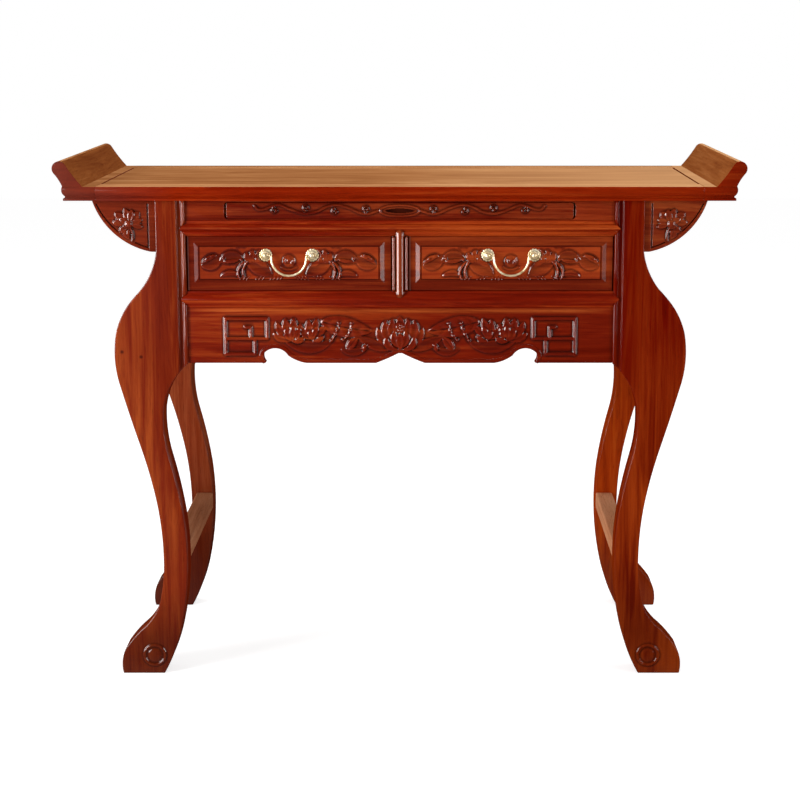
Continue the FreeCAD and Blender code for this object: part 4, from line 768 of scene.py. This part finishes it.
def apron_carving():
    """Lotus and leaves between frets, carved on the apron."""
    field = Carving(-312, 312, 566, 650, 0.9)
    fret = (
        [(-302.5, 579), (-302.5, 642)],
        [(-302.5, 642), (-230.5, 642)],
        [(-230.5, 642), (-230.5, 607)],
        [(-302.5, 607), (-230.5, 607)],
        [(-259, 607), (-259, 627), (-268, 627)],
        [(-252, 607), (-252, 580)],
        [(-302.5, 580), (-252, 580)],
    )
    # Long leaves first, then what lies over them
    field.blade(
        bent((-209, 613), (-164, 579), (-120, 601)), 23, 3.0, swell=0.55, vein=0, cup=0.85
    )
    field.blade(
        bent((-137, 637), (-96, 625), (-48, 620)), 36, 2.8, swell=0.42, ribs=5, cup=0.4
    )
    field.blade(bent((-74, 611), (-36, 588), (-11, 591)), 19, 2.8, 0.2, 0.5, 0, cup=0.8)
    field.blade(bent((-103, 589), (-80, 575), (-55, 594)), 13, 2.6, 0.2, 0.5, 0, cup=0.8)
    field.blade(bent((-92, 587), (-84, 600), (-73, 610)), 15, 2.4, 0.4, 0.45, 0.2, cup=0.5)
    field.blade(bent((-57, 597), (-66, 592), (-62, 584)), 7, 2.2, 1.0, 0.5, 0)
    for foot, bend, tip, wide, base in (
        ((-184, 604), (-212, 604), (-219, 617), 13, 0.4),
        ((-184, 604), (-208, 612), (-214, 636), 14, 0.7),
        ((-184, 603), (-200, 622), (-198, 642), 16, 1.0),
        ((-184, 603), (-186, 622), (-184, 643), 15, 1.0),
        ((-184, 603), (-172, 616), (-173, 634), 13, 0.9),
        ((-185, 603), (-198, 608), (-195, 627), 12, 1.9),
        ((-184, 602), (-188, 614), (-184, 630), 11, 2.3),
        ((-183, 603), (-176, 612), (-175, 627), 10, 2.1),
        ((-189, 604), (-178, 598), (-166, 610), 10, 2.6),
        ((-152, 606), (-170, 610), (-167, 627), 12, 0.6),
        ((-152, 605), (-162, 620), (-157, 640), 13, 0.9),
        ((-151, 605), (-149, 624), (-144, 642), 14, 0.9),
        ((-151, 605), (-140, 618), (-129, 629), 13, 0.8),
        ((-152, 604), (-158, 610), (-155, 622), 9, 2.2),
        ((-151, 604), (-150, 616), (-143, 628), 10, 2.0),
        ((-153, 605), (-142, 600), (-133, 612), 9, 1.9),
    ):
        field.blade(bent(foot, bend, tip), wide, 2.4, base, 0.62, 0.0, 0, 0.6)
    for path in (
        bent((-106, 634), (-108, 620), (-119, 604)),
        bent((-84, 634), (-86, 614), (-99, 605)),
    ):
        field.rod(path, 2.2, 1.6, 1.2)
        for x, z in path[::5]:
            field.dome(x, z, 2.4, 2.2, 1.6)
    # The lotus in the middle, left half
    for foot, bend, tip, wide, base in (
        ((-10, 595), (-32, 592), (-39, 626), 14, 0.3),
        ((0, 598), (0, 620), (0, 646), 20, 0.4),
        ((-6, 597), (-30, 606), (-25, 639), 16, 0.9),
        ((-2, 600), (-20, 612), (-12, 642), 15, 1.2),
        ((-1, 588), (-26, 588), (-24, 610), 12, 1.8),
        ((0, 590), (-15, 600), (-9, 620), 13, 2.2),
    ):
        field.blade(bent(foot, bend, tip), wide, 2.4, base, 0.6, 0.0, 0, 0.6)
    field.mirror()
    for turn in (1, -1):
        for path in fret:
            field.bar([(way * turn, up) for way, up in path], 6.0, 2.0)
    field.dome(0, 626, 9.5, 1.2, 1.8)
    for x, z in ((0, 626), (-4.6, 628), (4.6, 628), (-2.6, 622), (2.6, 622), (0, 631)):
        field.dome(x, z, 1.7, 1.5, 2.7)
    field.blade(bent((0, 586), (0, 600), (0, 617)), 15, 2.3, 2.4, 0.55, 0.0, 0, 0.45)
    field.height *= 1.5
    field.piece("apron_carving", "apron_front", STAND_FACE, carved_apron)


def drawer_carving(side, centre):
    """Leaves, stems and a middle boss, carved on a drawer front."""
    middle = centre * side
    field = Carving(middle - 152, middle + 152, 712, 767)

    def blade(start, bend, end, *more, **named):
        path = bent(start, bend, end) + np.array([middle, 0.0])
        field.blade(path, *more, **named)

    blade((-151, 735), (-136, 735), (-115, 749), 24, 3.0, swell=0.5, vein=0, cup=0.8)
    blade((-150, 738), (-140, 748), (-124, 753), 9, 2.6, 0.8, swell=0.5, vein=0.3, ribs=3)
    blade((-119, 741), (-98, 755), (-80, 748), 22, 3.0, 0.2, vein=0, cup=0.75)
    blade((-112, 743), (-98, 740), (-84, 746), 7, 2.4, 1.0, vein=0)
    field.dome(middle - 112, 746.5, 2.4, 2.2, 1.4)
    blade((-118, 716), (-100, 728), (-84, 716), 10, 2.0, vein=0.3)
    blade((-75, 741), (-52, 735), (-30, 718), 27, 2.8, 0.0, swell=0.5, vein=0, cup=0.7)
    for start, bend, end, wide in (
        ((-62, 740), (-74, 744), (-72, 757), 11),
        ((-60, 740), (-66, 752), (-60, 761), 11),
        ((-58, 740), (-52, 752), (-50, 762), 11),
        ((-60, 741), (-46, 742), (-38, 733), 10),
    ):
        blade(start, bend, end, wide, 2.2, 0.8, swell=0.6, vein=0, cup=0.5)
    for start, bend, end in (
        ((-77, 741), (-93, 727), (-86, 712.5)),
        ((-72, 741), (-84, 727), (-77, 713)),
    ):
        field.rod(bent(start, bend, end) + np.array([middle, 0.0]), 4.4, 2.8, 0.5)
    field.dome(middle - 82, 745, 2.6, 2.6, 1.0)
    field.mirror(middle)
    field.dome(middle, 742.5, 11.0, 2.8)
    field.rod(curl(middle, 742.5, 8.2, 150, 1.2), 3.0, 1.2, 2.4, 0.4)
    field.rod(bent((middle - 13, 731.5), (middle, 724), (middle + 13, 731.5)), 2.6, 1.3)
    field.height *= 1.3
    # The plates of the handle lie on the flat face, and the bail swings over low ground
    for plate in (middle - PLATE_OUT, middle + PLATE_OUT):
        clear = np.hypot(field.x - plate, field.z - PLATE_UP) - 12.0
        field.height = np.minimum(field.height, np.maximum(clear, 0.0) * 1.6)
    # The right half of the bail as it hangs
    hung = ((40, 753), (32, 751), (30.5, 741), (25, 728), (13, 718.5))
    swing = flowing(*[(-x, z) for x, z in hung], (0, 716.5), *reversed(hung))
    far = field.near(swing + np.array([middle, 0.0]))[0]
    room = 5.7 - 0.139 * (PLATE_UP - field.z) + np.maximum(far - 3.4, 0.0) * 1.5
    field.height = np.minimum(field.height, np.maximum(room, 0.3))
    name = "left" if side < 0 else "right"
    node = f"drawer_{name}_front"
    field.piece(f"drawer_{name}_carving", node, -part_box(node)[0][1] / MM, carved_drawer)


def tray_carving():
    """A running vine with curls, and a rim round the finger recess."""
    field = Carving(-256, 256, 815.5, 842.5, 0.7)
    vine = flowing(
        (-248, 837),
        (-242, 831),
        (-231, 831.5),
        (-218, 836.5),
        (-205, 838.5),
        (-187, 831),
        (-164, 824),
        (-142, 827),
        (-125, 835.5),
        (-108, 838.5),
        (-87, 833.5),
        (-68, 825),
        (-53, 823.5),
        (-37, 829),
    )
    field.rod(vine, 4.6, 1.7)
    for x, z, begin, turns in (
        (-214, 829.5, 100, 1.3),
        (-160, 834.5, 260, -1.3),
        (-111, 827.5, 100, 1.3),
        (-57, 832.5, 260, -1.3),
    ):
        field.rod(curl(x, z, 5.4, begin, turns), 3.4, 2.1, 0.2, 0.3)
        eye = np.hypot(field.x - x, field.z - z)
        # Painted shade in the curl's eye
        field.bed = np.where(eye < 7.0, np.clip((7.0 - eye) / 3.0, 0.0, 0.9), field.bed)
        field.dome(x + 2.6, z - 1.0, 2.0, 2.4, 1.2)
    near = field.near(vine)[0]
    # A painted shade line beside the vine
    field.bed = np.maximum(field.bed, np.exp(-(((near - 2.6) / 0.9) ** 2)) * 0.8)
    field.mirror()
    around = np.linspace(0.0, 2 * math.pi, 40)
    rim = np.stack([34 * np.cos(around), 828.7 + 9.6 * np.sin(around)], axis=1)
    field.rod(rim, 3.6, 1.6)
    field.height *= 1.6
    field.piece("tray_carving", "tray_front", TRAY_FACE, carved_tray)


def bracket_carving(side, name):
    """An open flower over a leaf, carved on a bracket."""
    field = Carving(-500, -436.5, 768, 840, 0.7)
    field.blade(bent((-464, 800), (-474, 792), (-464, 780)), 15, 2.0, 0.0, 0.35, 0.25)
    for foot, tip, wide, base in (
        ((-466, 806), (-488, 824), 15, 0.2),
        ((-462, 808), (-447, 827), 14, 0.2),
        ((-466, 806), (-492, 808), 13, 0.3),
        ((-462, 806), (-442, 813), 12, 0.4),
        ((-462, 804), (-441, 800), 10, 0.6),
        ((-466, 803), (-480, 792), 12, 0.6),
        ((-464, 806), (-471, 832), 13, 0.9),
        ((-464, 806), (-459, 831), 12, 1.0),
        ((-465, 805), (-480, 815), 11, 1.2),
    ):
        bend = ((foot[0] + tip[0]) / 2 + 2, (foot[1] + tip[1]) / 2 + 2)
        field.blade(bent(foot, bend, tip), wide, 2.4, base, 0.6, 0.0, 0, 0.55)
    field.rod(curl(-465, 806, 8.2, 200, 1.0), 3.0, 1.8, 1.6, 0.2)
    field.dome(-465, 806, 6.6, 2.6, 1.4)
    field.rod(bent((-462, 799), (-456, 788), (-459, 777)), 3.2, 2.0, 0.6, 0.3)
    field.height *= 1.5
    field.piece(f"{name}_carving", name, STAND_FACE, carved_bracket, flip=side > 0)


def foot_roundel(side, name):
    """A raised ring and a button on the foot."""
    field = Carving(-466, -416, 10, 58, 0.7)
    around = np.linspace(0.0, 2 * math.pi, 48)
    ring = np.stack([-441 + 18.3 * np.cos(around), 34 + 18.3 * np.sin(around)], axis=1)
    field.rod(ring, 5.6, 2.2)
    field.dome(-441, 34, 12.3, 2.0)
    finish = leg_wood if side < 0 else right_leg_wood
    field.piece(f"{name}_roundel", name, LEG_FACE, finish, flip=side > 0)


def divider_post():
    """The post between the drawers: a half-round bead with round ends that lap over the
    rails, between two fine beads."""
    low, high = (end[2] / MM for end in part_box("drawer_divider"))
    low, high = low + 12, high - 12
    middle, tall = (low + high) / 2, (high - low) / 2
    field = Carving(-14.5, 14.5, low - 12, high + 12, 0.5)
    up, across = np.abs(field.z - middle), np.abs(field.x)
    beyond = np.maximum(up - tall - 4.4, 0)
    inside = np.where(up <= tall, across <= 14.4, across + up - tall <= 10.8)
    inside |= np.hypot(across, beyond) <= 7.4
    field.height = np.where(up > tall, 4.3, 0.3)
    fine = np.clip(np.hypot((across - 11.2) / 2.9, np.maximum(up - tall + 3, 0) / 3), 0, 1)
    field.height = np.maximum(field.height, 4.2 * np.sqrt(1 - fine**2))
    bead = np.hypot(across, beyond) / 7.6
    field.height = np.maximum(field.height, 7.4 * np.sqrt(1 - np.clip(bead, 0, 1) ** 2))
    post = field.piece(
        "divider_post", "drawer_divider", POST_FACE, carved_leg, keep=inside, back=26.0
    )
    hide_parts("drawer_divider")


apron_carving()
tray_carving()
divider_post()
for side, word in ((-1, "left"), (1, "right")):
    drawer_carving(side, DRAWER_MIDDLE)
    bracket_carving(side, f"bracket_front_{word}")
    foot_roundel(side, f"leg_front_{word}")


# Repeats, made with Geometry Nodes


def hatch_tree(finish):
    """A row of leaning grass blades: how many, how far apart, how long, how thick."""
    tree = bpy.data.node_groups.new("leaning_grass", "GeometryNodeTree")
    for name, kind in (
        ("Blades", "NodeSocketInt"),
        ("Start", "NodeSocketVector"),
        ("Spacing", "NodeSocketVector"),
        ("Size", "NodeSocketVector"),
        ("Lean", "NodeSocketVector"),
    ):
        tree.interface.new_socket(name, in_out="INPUT", socket_type=kind)
    tree.interface.new_socket("Grass", in_out="OUTPUT", socket_type="NodeSocketGeometry")
    nodes, links = tree.nodes, tree.links
    given = nodes.new("NodeGroupInput")
    row = nodes.new("GeometryNodeMeshLine")
    blade = nodes.new("GeometryNodeMeshUVSphere")
    blade.inputs["Segments"].default_value = 10
    blade.inputs["Rings"].default_value = 8
    blade.inputs["Radius"].default_value = 1.0
    planted = nodes.new("GeometryNodeInstanceOnPoints")
    solid = nodes.new("GeometryNodeRealizeInstances")
    smooth = nodes.new("GeometryNodeSetShadeSmooth")
    painted = nodes.new("GeometryNodeSetMaterial")
    painted.inputs["Material"].default_value = finish
    done = nodes.new("NodeGroupOutput")
    for source, target in (
        (given.outputs["Blades"], row.inputs["Count"]),
        (given.outputs["Start"], row.inputs["Start Location"]),
        (given.outputs["Spacing"], row.inputs["Offset"]),
        (row.outputs["Mesh"], planted.inputs["Points"]),
        (blade.outputs["Mesh"], planted.inputs["Instance"]),
        (given.outputs["Lean"], planted.inputs["Rotation"]),
        (given.outputs["Size"], planted.inputs["Scale"]),
        (planted.outputs["Instances"], smooth.inputs["Geometry"]),
        (smooth.outputs["Geometry"], solid.inputs["Geometry"]),
        (solid.outputs["Geometry"], painted.inputs["Geometry"]),
        (painted.outputs["Geometry"], done.inputs["Grass"]),
    ):
        links.new(source, target)
    return tree


def grass_row(tree, name, node, finish, **given):
    """One row of the tree's blades as a plain piece."""
    piece = bpy.data.objects.new(name, bpy.data.meshes.new(name))
    bpy.context.scene.collection.objects.link(piece)
    row = piece.modifiers.new("row", "NODES")
    row.node_group = tree
    for item in tree.interface.items_tree:
        if item.in_out == "INPUT":
            row[item.identifier] = given[item.name.lower()]
    depsgraph = bpy.context.evaluated_depsgraph_get()
    piece.data = bpy.data.meshes.new_from_object(piece.evaluated_get(depsgraph))
    piece.modifiers.clear()
    return carried(piece, node, finish)


grass = hatch_tree(carved_drawer)
for side, word in ((-1, "left"), (1, "right")):
    for number, (start, blades, lean) in enumerate(
        (
            (-83.0, 3, 0.7),
            (-56.0, 3, 0.7),
            (-31.0, 4, 0.7),
            (13.0, 4, -0.7),
            (45.0, 3, -0.7),
            (72.0, 3, -0.7),
        )
    ):
        grass_row(
            grass,
            f"drawer_{word}_grass_{number}",
            f"drawer_{word}_front",
            carved_drawer,
            blades=blades,
            start=(
                (DRAWER_MIDDLE * side + start) * MM,
                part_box(f"drawer_{word}_front")[0][1],
                0.7132,
            ),
            spacing=(6.0 * MM, 0.0, 0.0),
            size=(1.1 * MM, 1.6 * MM, 5.2 * MM),
            lean=(0.0, lean, 0.0),
        )


# Brass rosettes


# How many points a ring of a plate has
AROUND = 96


def scalloped_plate(x, z, seat):
    """Rings of a domed plate whose rim is scalloped, from its middle back to its seat."""
    # Each ring: how far out it stands, its radius, how much the scallops bend it, and its
    # painted shade
    rings = (
        (2.35, 3.0, 0.0, 0.0),
        (2.35, 6.9, 0.0, 0.6),
        (1.75, 7.3, 0.0, 0.9),
        (1.9, 8.4, 0.35, 0.2),
        (2.0, 9.6, 0.7, 0.0),
        (1.5, 10.9, 1.0, 0.0),
        (0.7, 11.35, 1.0, 0.1),
        (0.02, 11.2, 1.0, 0.5),
    )
    around = np.linspace(0.0, 2 * math.pi, AROUND, endpoint=False)
    lobes = np.abs(np.cos(around * 7))
    places, shade = [], []
    for out, radius, wave, dark in rings:
        reach = radius - 0.95 * wave * (1 - lobes)
        lift = out + 0.35 * wave * (lobes - 0.5) * (out > 0.5)
        lifts = np.broadcast_to(lift, AROUND)
        for angle, far, height, lobe in zip(around, reach, lifts, lobes):
            places.append(
                (x + far * math.cos(angle), seat - height, z + far * math.sin(angle))
            )
            # Painted shade on the dark rings and between the scallops
            shade.append(min(1.0, dark * 0.6 + 0.5 * wave * (1 - lobe) ** 2))
    return places, shade, len(rings)


def rosettes(node, centre, seat, height):
    places, shade, faces = [], [], []
    for x in (centre - PLATE_OUT, centre + PLATE_OUT):
        start = len(places)
        more, darker, rings = scalloped_plate(x, height, seat)
        places += more
        shade += darker
        for ring in range(rings - 1):
            first = start + ring * AROUND
            for step in range(AROUND):
                a, b = first + step, first + (step + 1) % AROUND
                faces.append((a, b, b + AROUND, a + AROUND))
        faces.append([start + step for step in reversed(range(AROUND))])
        faces.append([start + (rings - 1) * AROUND + step for step in range(AROUND)])
    mesh = bpy.data.meshes.new(node + "_scalloped")
    mesh.from_pydata([tuple(part * MM for part in place) for place in places], [], faces)
    for face in mesh.polygons:
        face.use_smooth = True
    mesh.attributes.new("glaze", "FLOAT", "POINT").data.foreach_set("value", shade)
    piece = bpy.data.objects.new(mesh.name, mesh)
    bpy.context.scene.collection.objects.link(piece)
    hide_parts(node)
    carried(piece, node, brass)


for side, word in ((-1, "left"), (1, "right")):
    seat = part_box(f"handle_{word}_rosettes")[1][1] / MM
    rosettes(f"handle_{word}_rosettes", DRAWER_MIDDLE * side, seat, PLATE_UP)


# Floor, light and camera


def pale_floor():
    """White to the camera, with the object's shadow. Gloss sees it white behind the table
    and dim before it, as in a studio that is dark behind the camera."""
    finish = Finish("pale_floor")
    seen, glossy = finish.rays()
    x, y, _ = finish.spot()
    behind = (y * 2.0 + 0.7).held()
    left = (x * -0.5 + 0.2).held() * 0.16
    front = glossy * (behind * -1.0 + 1.0)
    pale, dim = (0.55, 0.55, 0.55, 1.0), (0.04, 0.04, 0.04, 1.0)
    finish.set("Base Color", finish.mix(glossy, pale, dim))
    finish.set("Roughness", 1.0)
    finish.set("Specular IOR Level", 0.0)
    finish.set("Emission Color", (1.0, 1.0, 1.0, 1.0))
    finish.set("Emission Strength", seen * 0.74 + glossy * behind * 0.7 + front * left)
    mesh = bpy.data.meshes.new("floor")
    half, low = 9.0, -0.0004
    corners = [(-half, -half, low), (half, -half, low), (half, half, low), (-half, half, low)]
    mesh.from_pydata(corners, [], [(0, 1, 2, 3)])
    mesh.materials.append(finish.material)
    floor = bpy.data.objects.new("floor", mesh)
    bpy.context.scene.collection.objects.link(floor)


def studio_world():
    """White to the camera. Gloss sees white behind the table and a dim room before it."""
    world = bpy.data.worlds.new("studio")
    bpy.context.scene.world = world
    world.use_nodes = True
    room = Shader(world.node_tree)
    seen, glossy = room.rays()
    _, y, _ = room.axes(room.add("TexCoord", {}, out=0))
    behind = (y * 2.5 + 0.4).held() * 0.9 + 0.04
    background = room.tree.nodes["Background"]
    room.feed(background, "Color", (1.0, 1.0, 1.0, 1.0))
    room.feed(background, "Strength", seen * 0.55 + glossy * (behind - 0.45) + 0.45)


def soft_lamp(name, place, aim, width, height, watts, colour=(1.0, 1.0, 1.0)):
    lamp = bpy.data.lights.new(name, "AREA")
    lamp.shape = "RECTANGLE"
    lamp.size, lamp.size_y = width, height
    lamp.energy = watts
    lamp.color = colour
    holder = bpy.data.objects.new(name, lamp)
    holder.location = place
    holder.rotation_euler = (Vector(aim) - Vector(place)).to_track_quat("-Z", "Y").to_euler()
    bpy.context.scene.collection.objects.link(holder)


def gloss_card(name, place, aim, width, height, strength):
    """A white card that only gloss sees, so its glow lies on curved and carved wood."""
    finish = Finish(name)
    finish.set("Base Color", (0.0, 0.0, 0.0, 1.0))
    finish.set("Specular IOR Level", 0.0)
    finish.set("Emission Color", (1.0, 1.0, 1.0, 1.0))
    finish.set("Emission Strength", strength)
    mesh = bpy.data.meshes.new(name)
    x, z = width / 2, height / 2
    mesh.from_pydata([(-x, -z, 0), (x, -z, 0), (x, z, 0), (-x, z, 0)], [], [(0, 1, 2, 3)])
    mesh.materials.append(finish.material)
    card = bpy.data.objects.new(name, mesh)
    card.location = place
    card.rotation_euler = (Vector(aim) - Vector(place)).to_track_quat("Z", "Y").to_euler()
    card.visible_camera = card.visible_diffuse = card.visible_shadow = False
    card.visible_transmission = False
    bpy.context.scene.collection.objects.link(card)


def camera():
    lens = bpy.data.cameras.new("camera")
    lens.lens = 85.5
    lens.sensor_width = 36.0
    lens.clip_end = 60.0
    # The camera stands a little to the right, and the picture is cropped round the table
    lens.shift_x = -0.0406
    view = bpy.data.objects.new("camera", lens)
    view.location = (0.0558, -3.474, 1.1498)
    view.rotation_euler = (math.pi / 2 - 0.1977, 0.0, 0.0)
    bpy.context.scene.collection.objects.link(view)
    bpy.context.scene.camera = view


pale_floor()
studio_world()
soft_lamp("left_window", (-2.4, -1.8, 0.98), (0.0, -0.2, 0.98), 0.8, 1.85, 78.0)
soft_lamp("right_window", (2.5, -1.7, 0.98), (0.0, -0.2, 0.98), 0.45, 1.85, 27.0)
soft_lamp("overhead", (0.2, 0.5, 3.1), (0.0, 0.0, 0.8), 2.4, 1.2, 50.0)
gloss_card("left_card", (-3.0, -1.7, 1.02), (0.0, -0.2, 1.02), 3.4, 2.0, 9.0)
gloss_card("right_card", (2.8, -1.9, 1.02), (0.0, -0.2, 1.02), 1.2, 2.0, 5.0)
camera()
bpy.context.scene.view_settings.view_transform = "Standard"
